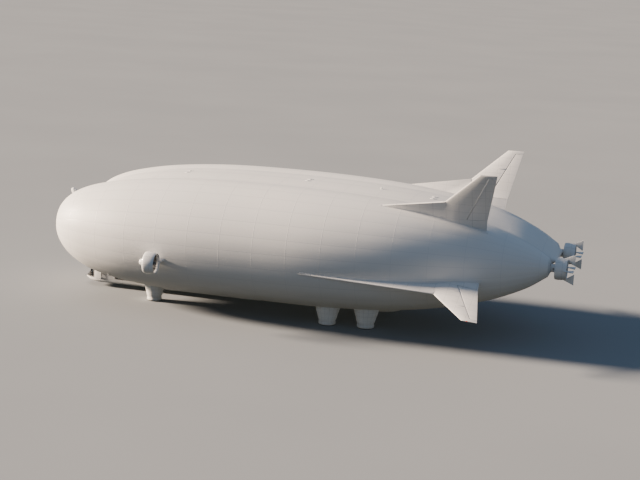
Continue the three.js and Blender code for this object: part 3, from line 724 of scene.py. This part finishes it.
def pod(front, nose):
    """The engine's pod: a hollow turned shell, open in front, narrowing to the propeller."""
    radius, back = POD["radius"], POD["back"]
    bulkhead = back + POD["depth"] + POD["wall"] / 2
    boat = [(0, 1), (0.35, 0.985), (0.65, 0.93), (0.88, 0.83), (1, POD["boat"])]
    outer = [(front - along, radius * share) for along, share in nose]
    tail = [(bulkhead - along * (bulkhead - back), radius * share) for along, share in boat]
    inner = [(front - along, radius * share - POD["wall"]) for along, share in reversed(nose)]
    inside = [(back, POD["bore"]), (bulkhead, POD["bore"]), (bulkhead, radius - POD["wall"])]
    return turned([*outer, *tail, *inside, *inner], 72, closed=True)


def block(low, high, rounded=0.0, segments=3):
    """A box between two corners, with rounded edges if asked."""
    low, high = Vector(low), Vector(high)
    bm = bmesh.new()
    place = Matrix.Translation((low + high) / 2) @ Matrix.Diagonal((*(high - low), 1))
    bmesh.ops.create_cube(bm, size=1, matrix=place)
    return round_off(bm, bm.edges[:], rounded, segments) if rounded else bm


def louvres(front, count):
    """Rows of small cooling slots, proud of the pod's four sides."""
    slots = []
    for quarter in range(4):
        for i in range(count):
            place = Vector((front - LOUVRE_PITCH * i, 0, POD["radius"]))
            slot = block(place - LOUVRE / 2, place + LOUVRE / 2, 0.008, 1)
            slots.append(turn(slot, Matrix.Rotation(quarter * pi / 2, 4, "X")))
    return gather(*slots)


def exhausts(front):
    """Two short stubs that lead the engine's exhaust out under the pod."""
    stubs = []
    for y in (-EXHAUST_OUT, EXHAUST_OUT):
        place = Matrix.Translation((front, y, -EXHAUST_DOWN)) @ Matrix.Rotation(EXHAUST_LEAN, 4, "Y")
        stubs.append(turn(turned(EXHAUST, 24, closed=True), place))
    return gather(*stubs)


def propeller():
    front, hub = POD["back"] - CLEAR, SPINNER[-1][1]
    back = front + POD["depth"]
    parts = [turned([*SPINNER, (front, hub), (front, SHAFT), (back, SHAFT), (back, 0)], 48)]
    for i in range(3):
        rings = []
        for radius, chord, thick, pitch in smooth_rows(BLADE, 4):
            lean = Matrix.Rotation(radians(90 - pitch), 4, "Z")
            section = lens_ring(chord / 2, -chord / 2, 0, thick)
            rings.append([lean @ Vector((point.x, point.z, radius)) for point in section])
        parts.append(turn(loft(rings), Matrix.Rotation(2 * pi * i / 3, 4, "X")))
    return round_uv(gather(*parts))


carbon = Finish("blade_laminate", (0.03, 0.032, 0.036), 0.32, Coat_Weight=0.4, Coat_Roughness=0.15)
where = carbon.place.outputs["Object"]
ply = carbon.add("TexWave", {"Vector": where, "Scale": 90.0, "Distortion": 2.0}).outputs["Fac"]
carbon.paint(ply, (0.075, 0.078, 0.085), 0.3)
carbon.spots((0.05, 4), 0.6, 0.8, (0.09, 0.09, 0.09))
carbon.polish((0.03, 3), 0.25, 0.45)
carbon.emboss(ply, 0.0002, 0.3)
blade_skin = carbon.made()

cast_metal = speckled(
    "cast_metal", (0.42, 0.42, 0.43), 0.4, ((0.02, 5), 0.4, 0.8, (0.28, 0.27, 0.26)),
    ((0.015, 4), 0.3, 0.6), ((0.003, 3), 0.0004, 0.4), Metallic=0.9,
)


def dress(finish, *nodes):
    """Nodes that keep their own shape get their finish."""
    for node in nodes:
        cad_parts[node].material_slots[0].material = finish


def propulsor(name, node, body, place, ring, shell, slots, stubs):
    """What the stern and the forward propulsors have alike, on both sides of the ship."""
    blades = f"{node}_propeller_{{side}}"
    for part, make, rides, finishes, slot, nodes in (
        ("duct", ring, body, [panel_skin, duct_liner], "panel", [f"{node}_duct_{{side}}"]),
        ("pod", lambda: round_uv(shell()), body, [panel_skin], "panel", [f"{node}_nacelle_{{side}}"]),
        ("propeller", propeller, blades, [blade_skin], "dark", [blades]),
        ("pod_louvres", lambda: louvres(*slots), body, [duct_liner], "panel", []),
        ("exhausts", lambda: exhausts(stubs), body, [cast_metal], "metal", []),
    ):
        both_sides(f"{name}_{part}", lambda: turn(make(), place), rides, finishes, nodes)
    dress(cast_metal, f"{node}_engine_port", f"{node}_engine_starboard")


# Stern propulsors
# One stands behind the tip of each side lobe on a round moulded mount. Four vanes behind the
# duct, which are fixed here, steer its slipstream.
REAR = Vector((-47.35, 7.2, 14.5))
REAR_PLACE = Matrix.Translation(REAR)
REAR_FRONT = 2.02
REAR_NOSE = [(0, 1), (0.5, 1), (1, 1)]
VANE = [(0.1, 1.8), (-0.3, 2.02), (-2.05, 2.75), (-2.05, 0.75), (-0.9, 1.5), (-0.55, 1.72)]
VANE_THICK, VANE_EDGE = 0.12, 0.045
# columns: share of the way from the pod to the hull's tip, radius
TAIL_MOUNT = [
    (0, 0), (0, 0.75), (0.06, 0.78), (0.12, 0.75), (0.25, 0.9), (0.5, 1.2), (0.8, 1.52), (1, 1.71),
    (1.05, 0),
]


def tail_mount():
    length = SIDE_LOBE[-1][0] - REAR.x - REAR_FRONT
    rows = [(REAR_FRONT + share * length, radius) for share, radius in TAIL_MOUNT]
    return turn(round_uv(turned(rows)), REAR_PLACE)


propulsor(
    "stern", "rear", "ship", REAR_PLACE, lambda: duct((VANE, VANE_THICK, VANE_EDGE)),
    lambda: pod(REAR_FRONT, REAR_NOSE), slots=(1.75, 5), stubs=1.45,
)
both_sides("stern_mount", tail_mount, "ship", [panel_skin], ["tail_mount_{side}"])

# Forward propulsors
# One stands out from each flank on a short pylon, and tilts on a trunnion that turns in
# the pylon's end. Its pod has an open nose, where the engine draws its air.
FORWARD = Vector((23.9, 23.75, 11))
FORWARD_FRONT = 2.4
# columns: distance behind the pod's front, share of its radius
INLET_NOSE = [(0, 0.55), (0.12, 0.68), (0.55, 0.92), (1.05, 1)]
TRUNNION = {"radius": 0.2, "ahead": 0.3, "from": 21.25, "to": 21.95}
PYLON = {"chord": 2.6, "thick": 0.9, "inner": 18, "flare": 1.5, "curve": 1.6, "end": 21.695}
PYLON_STATIONS = 8
PYLON_SIDES = 48


def forward_duct():
    ends = [(TRUNNION["ahead"], y - FORWARD.y, 0) for y in (TRUNNION["from"], TRUNNION["to"])]
    return gather(duct(), rod(*ends, TRUNNION["radius"]))


def pylon():
    """A stub that flares towards the hull. Its panel joints run round it, and none along it."""
    x = FORWARD.x + TRUNNION["ahead"]
    rings = []
    for step in range(PYLON_STATIONS + 1):
        share = step / PYLON_STATIONS
        y = PYLON["inner"] + (PYLON["end"] - PYLON["inner"]) * share
        grow = 1 + (PYLON["flare"] - 1) * (1 - share) ** PYLON["curve"]
        along, high = PYLON["chord"] / 2 * grow, PYLON["thick"] / 2 * grow
        angles = [2 * pi * i / PYLON_SIDES for i in range(PYLON_SIDES)]
        rings.append([Vector((x + cos(a) * along, y, FORWARD.z - sin(a) * high)) for a in angles])
    return lay_uv(loft(rings), "flat", lambda vert: (vert.co.y / SCALE, 0.06))


propulsor(
    "forward", "front", "front_unit_{side}", Matrix.Translation(FORWARD), forward_duct,
    lambda: pod(FORWARD_FRONT, smooth_rows(INLET_NOSE, 4)), slots=(1.15, 4), stubs=1.1,
)
both_sides("forward_pylon", pylon, "ship", [panel_skin], ["front_pylon_{side}"])

# Landing legs
# Six squat legs are coated fabric sleeves blown up hard, wide at the hull and narrower at
# the foot, with a taped band at the shoulder and a rubber sole on the ground.
# columns: name, x, y, radius at the hull, radius at the foot
LEGS = [("front", 29.3, 7.7, 1.95, 1.4), ("middle", -5.5, 10, 2.25, 1.6), ("rear", -12.6, 9.2, 2.25, 1.6)]
SHOULDER = 3.2
ANKLE = 0.75
LEG_TOP = 7.5
SOLE = 0.14
SOLE_SHARE = 0.93
FOLD = 0.045
BAND = 0.035
UPRIGHT = Matrix.Rotation(-pi / 2, 4, "Y")


def sleeve(top, foot):
    rows = [(SOLE, 0), (SOLE, foot * SOLE_SHARE), (0.24, foot), (0.55, foot), (0.64, foot * 0.965)]
    for share in (step / 12 for step in range(13)):
        radius = foot * 0.95 + (top - foot * 0.95) * share + FOLD * abs(sin(2 * pi * share))
        rows.append((ANKLE + (SHOULDER - ANKLE) * share, radius))
    band = [(SHOULDER + 0.03, top + BAND), (SHOULDER + 0.28, top + BAND), (SHOULDER + 0.31, top)]
    return [*rows, *band, (LEG_TOP, top), (LEG_TOP, 0)]


cloth = Finish("leg_sleeve_cloth", (0.86, 0.855, 0.83), 0.6, Sheen_Weight=0.15)
stitched = cloth.joints((0.0815, 0.0025), (1 / 16, 0.0022))
muddy = cloth.maths("MULTIPLY", cloth.share(cloth.axis("Z"), 0.16, 0.0), cloth.grain(0.06, 5))
cloth.spots((0.3, 5, (1, 1, 2)), 0.45, 0.75, (0.79, 0.785, 0.76))
cloth.paint(stitched, (0.42, 0.42, 0.41), 0.5)
cloth.paint(muddy, (0.3, 0.28, 0.22))
cloth.polish((0.1, 4), 0.5, 0.72)
cloth.emboss(stitched, 0.002, 0.6)
cloth.emboss((0.09, 3, (1, 1, 3)), 0.012, 0.35)
cloth.emboss((0.003, 2), 0.0003, 0.3)
leg_cloth = cloth.made()

sole_rubber = speckled(
    "sole_rubber", (0.05, 0.05, 0.048), 0.75, ((0.03, 5), 0.45, 0.8, (0.16, 0.15, 0.13)),
    ((0.02, 4), 0.6, 0.9), ((0.006, 3), 0.0008, 0.5),
)

for name, x, y, top, foot in LEGS:
    edge = foot * SOLE_SHARE
    sole = [(0, 0), (0, foot * 0.9), (0.03, edge), (SOLE, edge), (SOLE, 0)]
    for part, rows, finish, nodes in (
        ("sleeve", sleeve(top, foot), leg_cloth, [f"{name}_leg_{{side}}"]), ("sole", sole, sole_rubber, []),
    ):
        make = lambda: turn(round_uv(turned(rows, 80)), Matrix.Translation((x, y, 0)) @ UPRIGHT)
        both_sides(f"{name}_leg_{part}", make, "ship", [finish], nodes)

# Cabin
# One long thin-walled composite cabin hangs under the hull, with the flight deck in its raked
# nose. Its windows are cut from the moulded shell and held by dark frames.
# columns: x, half width, height of its underside, height of its top
CABIN = [
    (46.2, 0.9, 1.35, 1.75), (45.6, 1.5, 1.1, 2.5), (44.7, 2.05, 0.95, 3.5), (43.2, 2.4, 0.8, 4.9),
    (40.5, 2.4, 0.8, 8), (37, 2.4, 0.8, 8), (30, 2.4, 0.8, 8), (22, 2.4, 0.8, 8), (15.5, 2.4, 0.8, 8),
    (12, 2.4, 0.8, 8), (8, 2.2, 1, 8), (4.5, 1.6, 1.7, 8), (2.5, 0.8, 2.6, 8),
]
WALL = 0.12
CORNER = 0.5
CORNER_STEPS = 7
WINDSCREEN = ((44.2, -4, 1.75), (46.6, 4, 4.2))
SIDE_WINDOW = ((13, 1, 1.85), (39.6, 4, 2.75))
DOORWAY = ((41.3, 1, 1.45), (42.6, 4, 3.35))
# the rod that the port door hangs on, with a lug at each end
HINGE_ROD, HINGE_RADIUS = ((42.6, 2.55, 1.59), (42.6, 2.55, 3.18)), 0.04
HINGE_LUG, HINGE_LUGS_AT = ((42.6, 2.37, -0.05), (42.68, 2.6, 0.05)), [(0, 0, 1.64), (0, 0, 3.13)]


def cabin_body(shrink=0.0):
    rows = smooth_rows(CABIN, 4)
    rings = []
    for i, (x, half, bottom, top) in enumerate(rows):
        wide, low, high = half - shrink, bottom + shrink, top - shrink
        end = -shrink if i == 0 else shrink if i == len(rows) - 1 else 0
        corner = min(CORNER, wide * 0.6, (high - low) * 0.4)
        centres = [(1, high - corner), (-1, high - corner), (-1, low + corner), (1, low + corner)]
        ring = []
        for quarter, (side, z) in enumerate(centres):
            for step in range(CORNER_STEPS + 1):
                angle = pi / 2 * (quarter + step / CORNER_STEPS)
                y = side * (wide - corner) + corner * cos(angle)
                ring.append(Vector((x + end, y, z + corner * sin(angle))))
        rings.append(ring)
    return loft(rings)


def side_uv(bm):
    """The pattern lies flat on the ship's side, in metres of the model."""
    return lay_uv(bm, "side", lambda vert: (vert.co.x / SCALE, vert.co.z / SCALE))


def pair(make):
    """The port shape and its mirror image in one mesh."""
    return gather(*(mirror(make(), sign) for sign in (1, -1)))


def boxes(corners, places, rounded=0.0):
    """The same box, from two opposite corners, moved to each of these places."""
    low, high = (Vector(corner) for corner in corners)
    return gather(*(block(low + Vector(place), high + Vector(place), rounded) for place in places))


def hinge():
    return gather(rod(*HINGE_ROD, HINGE_RADIUS, steps=16), boxes(HINGE_LUG, HINGE_LUGS_AT, 0.012))


coat = Finish("cabin_paint", (0.77, 0.77, 0.76), 0.34, Coat_Weight=0.25)
seams = coat.joints((0.38, 0.003), (0.155, 0.0025))
# streaks that darken the paint more and more towards the bottom of the cabin
darker_low_paint = coat.maths("MULTIPLY", coat.share(coat.axis("Z"), 0.25, 0.05), coat.grain(0.2, 5, (3, 1, 1)))
coat.spots((0.4, 5), 0.5, 0.85, (0.7, 0.7, 0.69))
coat.paint(darker_low_paint, (0.42, 0.41, 0.38), 0.5)
coat.paint(seams, (0.32, 0.33, 0.34), 0.6)
coat.polish((0.15, 4), 0.28, 0.44)
coat.emboss(coat.maths("SUBTRACT", 1.0, seams), 0.001, 0.6)
coat.emboss((0.004, 2), 0.0002, 0.2)
cabin_skin = coat.made()

openings = [pair(lambda: block(*box)) for box in (SIDE_WINDOW, DOORWAY)]
shell = combine("DIFFERENCE", cabin_body(), cabin_body(WALL), block(*WINDSCREEN), *openings)
shell = side_uv(gather(shell, pair(hinge)))
piece("cabin_body", shell, "ship", [cabin_skin], ["cabin_shell"], 30)

# Window frames
# Dark moulded frames stand just proud of the shell, with a post between every two panes, and
# clamp the tinted glazing in its openings.
frame_moulding = speckled(
    "frame_moulding", (0.06, 0.062, 0.066), 0.45, ((0.03, 4), 0.5, 0.8, (0.12, 0.12, 0.12)),
    ((0.02, 4), 0.35, 0.6), ((0.002, 2), 0.0002, 0.4),
)
PANES = 14
POST, RAIL, STRIP = 0.1, 0.06, 0.02
# each bar of a frame is a box, by two opposite corners, that takes its strip of the shell
IN, OUT = 1.5, 3.5
(front, _, bottom), (back, _, top) = SIDE_WINDOW
side_frames = [((front - POST, IN, z - RAIL), (back + POST, OUT, z + RAIL)) for z in (bottom, top)]
for i in range(PANES + 1):
    x, end = front + (back - front) / PANES * i, RAIL - 0.001
    side_frames.append(((x - POST, IN, bottom - end), (x + POST, OUT, top + end)))
(back, _, bottom), (_, _, top) = WINDSCREEN
screen_frames = [
    ((back - 0.09, -3, bottom - 0.07), (back + 0.09, 3, top + 0.07)),
    ((back - 0.08, -3, bottom - 0.08), (46.5, 3, bottom + 0.08)),
    ((44.9, -0.07, bottom - 0.05), (46.5, 0.07, 4.5)),
    ((44.15, -0.071, 3.2), (44.95, 0.071, 4.6)),
    ((45.1, -3, bottom - 0.06), (45.24, 3, 4.2)),
]


def cabin_strips(bars):
    """What these bars keep of a thin skin that wraps the cabin's shell."""
    skin = combine("DIFFERENCE", cabin_body(-STRIP), cabin_body(WALL * 0.8))
    return side_uv(combine("INTERSECT", skin, combine("UNION", *(block(*bar) for bar in bars))))


both_sides("side_window_frames", lambda: cabin_strips(side_frames), "ship", [frame_moulding])
piece("windscreen_frame", cabin_strips(screen_frames), "ship", [frame_moulding])

glazing = speckled(
    "tinted_glazing", (0.3, 0.35, 0.37), 0.04, ((0.25, 3, (3, 1, 1)), 0.4, 0.7, (0.22, 0.27, 0.3)),
    ((0.05, 4), 0.04, 0.12), ((0.2, 2), 0.0008, 0.15), IOR=1.45, Transmission_Weight=1.0,
)
dress(glazing, "windscreen", "cabin_windows_port", "cabin_windows_starboard")

# Cabin doors
# A moulded door on each side, behind the flight deck, swings forward on two lugs round a
# fixed rod. It has a small window, a bar handle on a plate and a kick strip.
# each fitting by two opposite corners, and the handle's bar by its ends
PANE = ((41.62, 2.385, 2.45), (42.28, 2.425, 3.08))
HANDLE_PLATE = ((41.5, 2.39, 2.18), (41.82, 2.42, 2.3))
HANDLE_BAR = ((41.54, 2.45, 2.24), (41.78, 2.45, 2.24))
KICK_STRIP = ((41.5, 2.39, 1.56), (42.4, 2.425, 1.64))


def door_fittings():
    handle = gather(block(*HANDLE_PLATE, 0.01), rod(*HANDLE_BAR, 0.02, steps=12))
    return side_uv(gather(block(*PANE, 0.015), handle, block(*KICK_STRIP, 0.01)))


dress(cabin_skin, "cabin_door_port", "cabin_door_starboard")
both_sides("door_fittings", door_fittings, "cabin_door_{side}", [frame_moulding])

# Flight deck
# Two seats face a low console with three dark screens. Each has a metal pan and back on a stem
# that stands on the floor, and foam pads in a cloth cover.
SEAT_X, SEAT_Y, SEAT_WIDE = 43.0, 0.75, 0.52
SEAT_LOW, SEAT_HIGH = SEAT_Y - SEAT_WIDE / 2, SEAT_Y + SEAT_WIDE / 2
FRAME_IN = 0.03
# the size of the remesh, the air's pressure, the frames it blows for and the most a point moves
VOXEL, PRESSURE, FRAMES, MOST = 0.016, 4, 20, 0.012
CHANNEL = 0.022
SCREEN = ((43.975, -0.34, 1.22), (44.01, 0.34, 1.6))
# columns: name, its low corner, its high corner, crown, the axis it swells along, its own channels
PADS = [
    ("cushion", (SEAT_X, SEAT_LOW, 1.425), (SEAT_X + 0.5, SEAT_HIGH, 1.54), 0.02, 2, [(0, SEAT_X + 0.36)]),
    ("back", (SEAT_X - 0.115, SEAT_LOW, 1.5), (SEAT_X, SEAT_HIGH, 2.3), 0.015, 0, [(2, 1.78), (2, 2.06)]),
]


def cushion(low, high, crown, axis):
    """A closed pad that is crowned on its broad faces and pulls in at its corners."""
    bm = block(low, high)
    middle, half = (Vector(low) + Vector(high)) / 2, (Vector(high) - Vector(low)) / 2
    bmesh.ops.subdivide_edges(bm, edges=bm.edges[:], cuts=9, use_grid_fill=True)
    first, second = [i for i in range(3) if i != axis]
    for vert in bm.verts:
        offset = vert.co - middle
        spread = [min(abs(offset[i]) / half[i], 1) for i in (first, second)]
        swell = (1 - spread[0] ** 2) * (1 - spread[1] ** 2)
        fuller = middle[axis] + offset[axis] * (0.55 + 0.45 * swell**0.4)
        vert.co[axis] = fuller + copysign(crown * swell, offset[axis])
        for i, other in ((first, spread[1]), (second, spread[0])):
            vert.co[i] = middle[i] + offset[i] * (1 - 0.05 * (1 - other**2))
    soften(bm, bm.verts, 0.4)
    return bm


def blown_up(bm, channels, axis):
    """The pad once a short cloth simulation has filled its cover, with its sewn channels."""
    pad = put("pad", bm)
    even = pad.modifiers.new("even", "REMESH")
    even.mode = "VOXEL"
    even.voxel_size = VOXEL
    bm = bmesh.new()
    bm.from_object(pad, bpy.context.evaluated_depsgraph_get())
    pad.modifiers.remove(even)
    bm.to_mesh(pad.data)
    cover = pad.modifiers.new("cover", "CLOTH")
    cover.settings.use_pressure = True
    cover.settings.uniform_pressure_force = PRESSURE
    cover.settings.effector_weights.gravity = 0
    for step in range(1, FRAMES + 1):
        bpy.context.scene.frame_set(step)
    filled = pad.evaluated_get(bpy.context.evaluated_depsgraph_get()).data
    for vert, after in zip(bm.verts, filled.vertices):
        moved = after.co - vert.co
        vert.co += moved * min(1, MOST / max(moved.length, 1e-9))
    bpy.context.scene.frame_set(1)
    discard(pad)
    bmesh.ops.subdivide_edges(bm, edges=bm.edges[:], cuts=1, smooth=0.5, use_grid_fill=True)
    middle = sum((vert.co[axis] for vert in bm.verts), 0.0) / len(bm.verts)
    for vert in bm.verts:
        for along, place in channels:
            dip = max(0, 1 - abs(vert.co[along] - place) / CHANNEL) ** 2
            vert.co[axis] -= (vert.co[axis] - middle) * 0.3 * dip
    return bm


def seat_frame():
    """The pan and the plate behind the back, on a stem with a round foot."""
    low, high, x = SEAT_LOW + FRAME_IN, SEAT_HIGH - FRAME_IN, SEAT_X + 0.12
    pan = block((SEAT_X + 0.02, low, 1.39), (SEAT_X + 0.48, high, 1.43), 0.012)
    back = block((SEAT_X - 0.15, low, 1.4), (SEAT_X - 0.11, high, 2.28), 0.012)
    stem = rod((x, SEAT_Y, 0.93), (x, SEAT_Y, 1.4), 0.06)
    foot = rod((x, SEAT_Y, 0.925), (x, SEAT_Y, 0.96), 0.13, 0.1)
    return side_uv(gather(pan, back, stem, foot))


seat_cloth = speckled(
    "seat_upholstery", (0.03, 0.036, 0.046), 0.8, ((0.02, 4), 0.4, 0.8, (0.05, 0.056, 0.066)),
    ((0.01, 3), 0.7, 0.92), ((0.0012, 2), 0.0004, 0.5), Sheen_Weight=0.4,
)
both_sides("pilot_seat_frame", seat_frame, "ship", [cast_metal], ["pilot_seat_{side}"])
for name, low, high, crown, axis, own in PADS:
    channels = [(1, SEAT_Y - 0.13), (1, SEAT_Y + 0.13), *own]
    pad = blown_up(cushion(low, high, crown, axis), channels, axis)
    both_sides(f"pilot_seat_{name}", pad.copy, "ship", [seat_cloth], sharp=180)
    pad.free()

dress(frame_moulding, "flight_console")
screen_glass = speckled(
    "screen_glass", (0.012, 0.02, 0.028), 0.12, ((0.01, 3), 0.45, 0.7, (0.02, 0.035, 0.045)),
    ((0.02, 3), 0.08, 0.2), Coat_Weight=0.5,
)
screens = boxes(SCREEN, [(0, y, 0) for y in (-0.9, 0, 0.9)], 0.01)
piece("console_screens", side_uv(screens), "ship", [screen_glass])

# Aft module
# A long composite fairing under the belly, between the middle and the rear legs, houses tanks
# and stores. It has cooling grilles on its sides and two hatches underneath.
# columns: x, half width, height of its underside
AFT_MODULE = [
    (-2, 0.9, 2.6), (-3.5, 1.8, 1.7), (-6, 2.1, 1.3), (-10, 2.1, 1.3), (-14, 2.1, 1.3),
    (-17, 1.7, 1.8), (-19, 0.8, 2.9),
]
MODULE_TOP = 7
CHINE, CHINE_ROUND, CHINE_ANGLE = 0.7, 0.22, radians(25)
# a slat of a grille and a hatch by two opposite corners, and where their middles lie along
SLAT, SLATS, SLAT_PITCH = ((-0.7, 2.06, 2.35), (0.7, 2.12, 2.42)), 6, 0.16
HATCH = ((-0.9, -0.8, 1.27), (0.9, 0.8, 1.31))
GRILLES_AT, HATCHES_AT = (-7, -9.6, -12.2), (-7.6, -12)


def aft_module():
    rings = []
    for x, half, bottom in smooth_rows(AFT_MODULE, 3):
        port = [(half, MODULE_TOP), (half, bottom + CHINE), (half * 0.65, bottom)]
        rings.append([Vector((x, y, z)) for y, z in [*port, *((-y, z) for y, z in reversed(port))]])
    bm = loft(rings)
    chines = []
    for edge in bm.edges:
        start, end = (vert.co for vert in edge.verts)
        lengthways, low_down = abs(start.x - end.x) > 0.1, max(start.z, end.z) < MODULE_TOP - 1
        if edge.is_manifold and edge.calc_face_angle() > CHINE_ANGLE and lengthways and low_down:
            chines.append(edge)
    return side_uv(round_off(bm, chines, CHINE_ROUND, 4))


piece("aft_module_body", aft_module(), "ship", [cabin_skin], ["aft_module"], 30)
places = [(x, 0, SLAT_PITCH * i) for x in GRILLES_AT for i in range(SLATS)]
grilles = side_uv(pair(lambda: boxes(SLAT, places)))
piece("aft_module_grilles", grilles, "ship", [frame_moulding])
hatches = side_uv(boxes(HATCH, [(x, 0, 0) for x in HATCHES_AT], 0.012))
piece("aft_module_hatches", hatches, "ship", [cabin_skin])

# Root flanges
# Wherever a leg, fin, pylon, the cabin or the module meets the fabric, a doubled flange of
# tape spreads its load. Each is what that root, grown a little, keeps of a thicker hull.
FLANGE, PYLON_FLANGE, FLANGE_THICK = 0.14, 0.2, 0.05
# how far the roots' shapes reach, up from the legs and out along the pylons, and the module's
# root by two opposite corners
LEG_ROOT, PYLON_ROOT = (2.5, 9), (19, 21.2)
MODULE_ROOT = ((-19, -2.1 - FLANGE, 2.6), (-2, 2.1 + FLANGE, 6))
roots = []
for name, x, y, top, foot in LEGS:
    roots.append(pair(lambda: rod(*((x, y, z) for z in LEG_ROOT), top + FLANGE, steps=64)))
for fin in FINS.values():
    end, reach = fin["strake"][0] + FLANGE, fin["strake"][1] + 1.5 + ROOT_DEPTH
    wide, thin = FIN_THICK[0] / 2 + FLANGE, STRAKE_THICK / 2 + FLANGE
    half = [(-0.45, wide), (8, wide), (10, thin), (end, thin)]
    outline = half + [(x, -y) for x, y in reversed(half)]
    lift = Matrix.Translation((0, reach / 2 - ROOT_DEPTH, 0)) @ Matrix.Rotation(pi / 2, 4, "X")
    roots.append(pair(lambda: turn(plate(outline, reach), fin_place(fin) @ lift)))
place = Matrix.Translation((FORWARD.x + TRUNNION["ahead"], 0, FORWARD.z))
half_chord, half_thick = PYLON["chord"] / 2 + PYLON_FLANGE, PYLON["thick"] / 2 + PYLON_FLANGE
squash = place @ Matrix.Diagonal((half_chord, 1, half_thick, 1))
roots.append(pair(lambda: turn(rod(*((0, y, 0) for y in PYLON_ROOT), 1, steps=64), squash)))
roots += [cabin_body(-FLANGE), block(*MODULE_ROOT)]
flanges = combine("INTERSECT", gather(*roots), hull(FLANGE_THICK))
piece("root_flanges", side_uv(flanges), "ship", [fabric_skin], sharp=30)

# Fittings on the hull
# Gas valves lie flush on the crown, load patches with rings line the lower flanks, a mooring
# cone stands between the two bows and a dome on the port one. All are bonded to the skin.
ABOVE, BELOW = 40, -5
VALVES_AT = [(x, y) for x in (26, 2, -22) for y in (-0.9, 0.9)]
PATCHES_AT = [(x, 14.5) for x in (36, 22, 8, -22)]
CONE_AT, DOME_FROM = (46.72, 0, 13.9), (45.9, 8.2, ABOVE)
# columns of each outline: along the fitting, radius
VALVE = [
    (-0.12, 0), (-0.12, 0.56), (0.02, 0.56), (0.05, 0.53), (0.05, 0.4), (0.02, 0.38), (0.02, 0.3),
    (0.08, 0.27), (0.1, 0),
]
PATCH = [(-0.1, 0), (-0.1, 0.36), (0.015, 0.36), (0.03, 0.33), (0.03, 0)]
LUG = {"radius": 0.12, "bar": 0.022}
CONE = [
    (-0.5, 0), (-0.5, 0.8), (0.02, 0.76), (0.06, 0.6), (0.3, 0.34), (0.62, 0.24), (0.7, 0.3), (0.84, 0.3),
    (0.92, 0.2), (0.95, 0),
]
DOME = [
    (-0.4, 0), (-0.4, 0.74), (0.03, 0.74), (0.06, 0.68), (0.08, 0.54), (0.5, 0.52), (0.8, 0.43), (1, 0.26),
    (1.07, 0),
]


def seated(bm, start, direction):
    """Stands a fitting, made along x, on the skin where a line from outside meets it."""
    place, normal, _, _ = skin_tree.ray_cast(Vector(start), Vector(direction))
    return turn(bm, Matrix.Translation(place) @ normal.to_track_quat("X", "Z").to_matrix().to_4x4())


def on_top(outline, x, y, steps=48):
    return seated(turned(outline, steps), (x, y, ABOVE), (0, 0, -1))


def load_patches():
    angles = [2 * pi * i / 8 for i in range(8)]
    bar = [(LUG["radius"] + LUG["bar"] * cos(angle), 0.09 + LUG["bar"] * sin(angle)) for angle in angles]
    on_edge = Matrix.Translation((0.1, 0, 0.12)) @ Matrix.Rotation(pi / 2, 4, "Z")
    patches = []
    for x, y in PATCHES_AT:
        lug = turn(turned(bar, 24, closed=True), on_edge)
        patches.append(seated(gather(turned(PATCH, 32), lug), (x, y, BELOW), (0, 0, 1)))
    return round_uv(gather(*patches))


valves = gather(*(on_top(VALVE, *place) for place in VALVES_AT))
piece("gas_valves", round_uv(valves), "ship", [panel_skin])
both_sides("load_patches", load_patches, "ship", [panel_skin])
cone = turn(round_uv(turned(CONE, 48)), Matrix.Translation(CONE_AT))
piece("mooring_cone", cone, "ship", [cast_metal])
dome = seated(round_uv(turned(DOME, 48)), DOME_FROM, (0, 0, -1))
piece("bow_dome_port", dome, "ship", [panel_skin])

# Lights and aerials
# Small coloured lamps mark the lower fins' tips, and a beacon stands on the crown. Two landing
# lamps, three blade aerials and two air-data probes are fixed to the cabin.
RED, GREEN, WHITE = (0.6, 0.02, 0.015), (0.01, 0.42, 0.08), (0.75, 0.75, 0.7)
# each lamp's size along, across and up, and its place
TIP_LAMP, TIP = (0.28, 0.07, 0.09), (-0.35, 11.5, 0)
LANDING_LAMP, LANDING_LAMP_AT = (0.2, 0.2, 0.12), (44.1, 1.1, 0.86)
BEACON = [(-0.1, 0), (-0.1, 0.2), (0.08, 0.2), (0.1, 0.16), (0.24, 0.13), (0.32, 0.07), (0.34, 0)]
BEACON_AT = (-12, 0)
AERIAL = [(0.3, 0.05), (-0.3, 0.05), (-0.24, -0.36), (-0.02, -0.36)]
AERIALS_AT = [(x, y, 0.8) for x, y in ((38, 0), (33, 0.9), (24, 0))]
# the probes by their ends
PROBES = [((45.9, 0.6, 1.5), (46.75, 0.6, 1.5)), ((45.95, -0.6, 1.5), (46.6, -0.6, 1.5))]
PROBE_RADII = (0.03, 0.014)


def lamp_glass(name, colour, glow):
    return speckled(
        name, colour, 0.15, ((0.006, 3), 0.4, 0.8, [part * 0.7 for part in colour]), ((0.01, 2), 0.1, 0.25),
        Coat_Weight=0.5, Emission_Color=(*colour, 1), Emission_Strength=glow,
    )


for side, sign, colour in (("port", 1, RED), ("starboard", -1, GREEN)):
    name = f"tip_lamp_{side}"
    bm = ball(TIP_LAMP, fin_place(FINS["lower"]) @ Matrix.Translation(TIP))
    piece(name, mirror(bm, sign), "ship", [lamp_glass(name, colour, 0.4)])
white_glass = lamp_glass("white_lamp_glass", WHITE, 0.3)
piece("crown_beacon", on_top(BEACON, *BEACON_AT, 32), "ship", [white_glass])
lamps = pair(lambda: ball(LANDING_LAMP, Matrix.Translation(LANDING_LAMP_AT)))
piece("landing_lamps", lamps, "ship", [white_glass])
aerials = [rod(*ends, *PROBE_RADII, 12) for ends in PROBES]
for place in AERIALS_AT:
    upright = Matrix.Translation(place) @ Matrix.Rotation(pi / 2, 4, "X")
    aerials.append(turn(plate(AERIAL, 0.05, 0.015), upright))
piece("cabin_aerials", side_uv(gather(*aerials)), "ship", [frame_moulding])
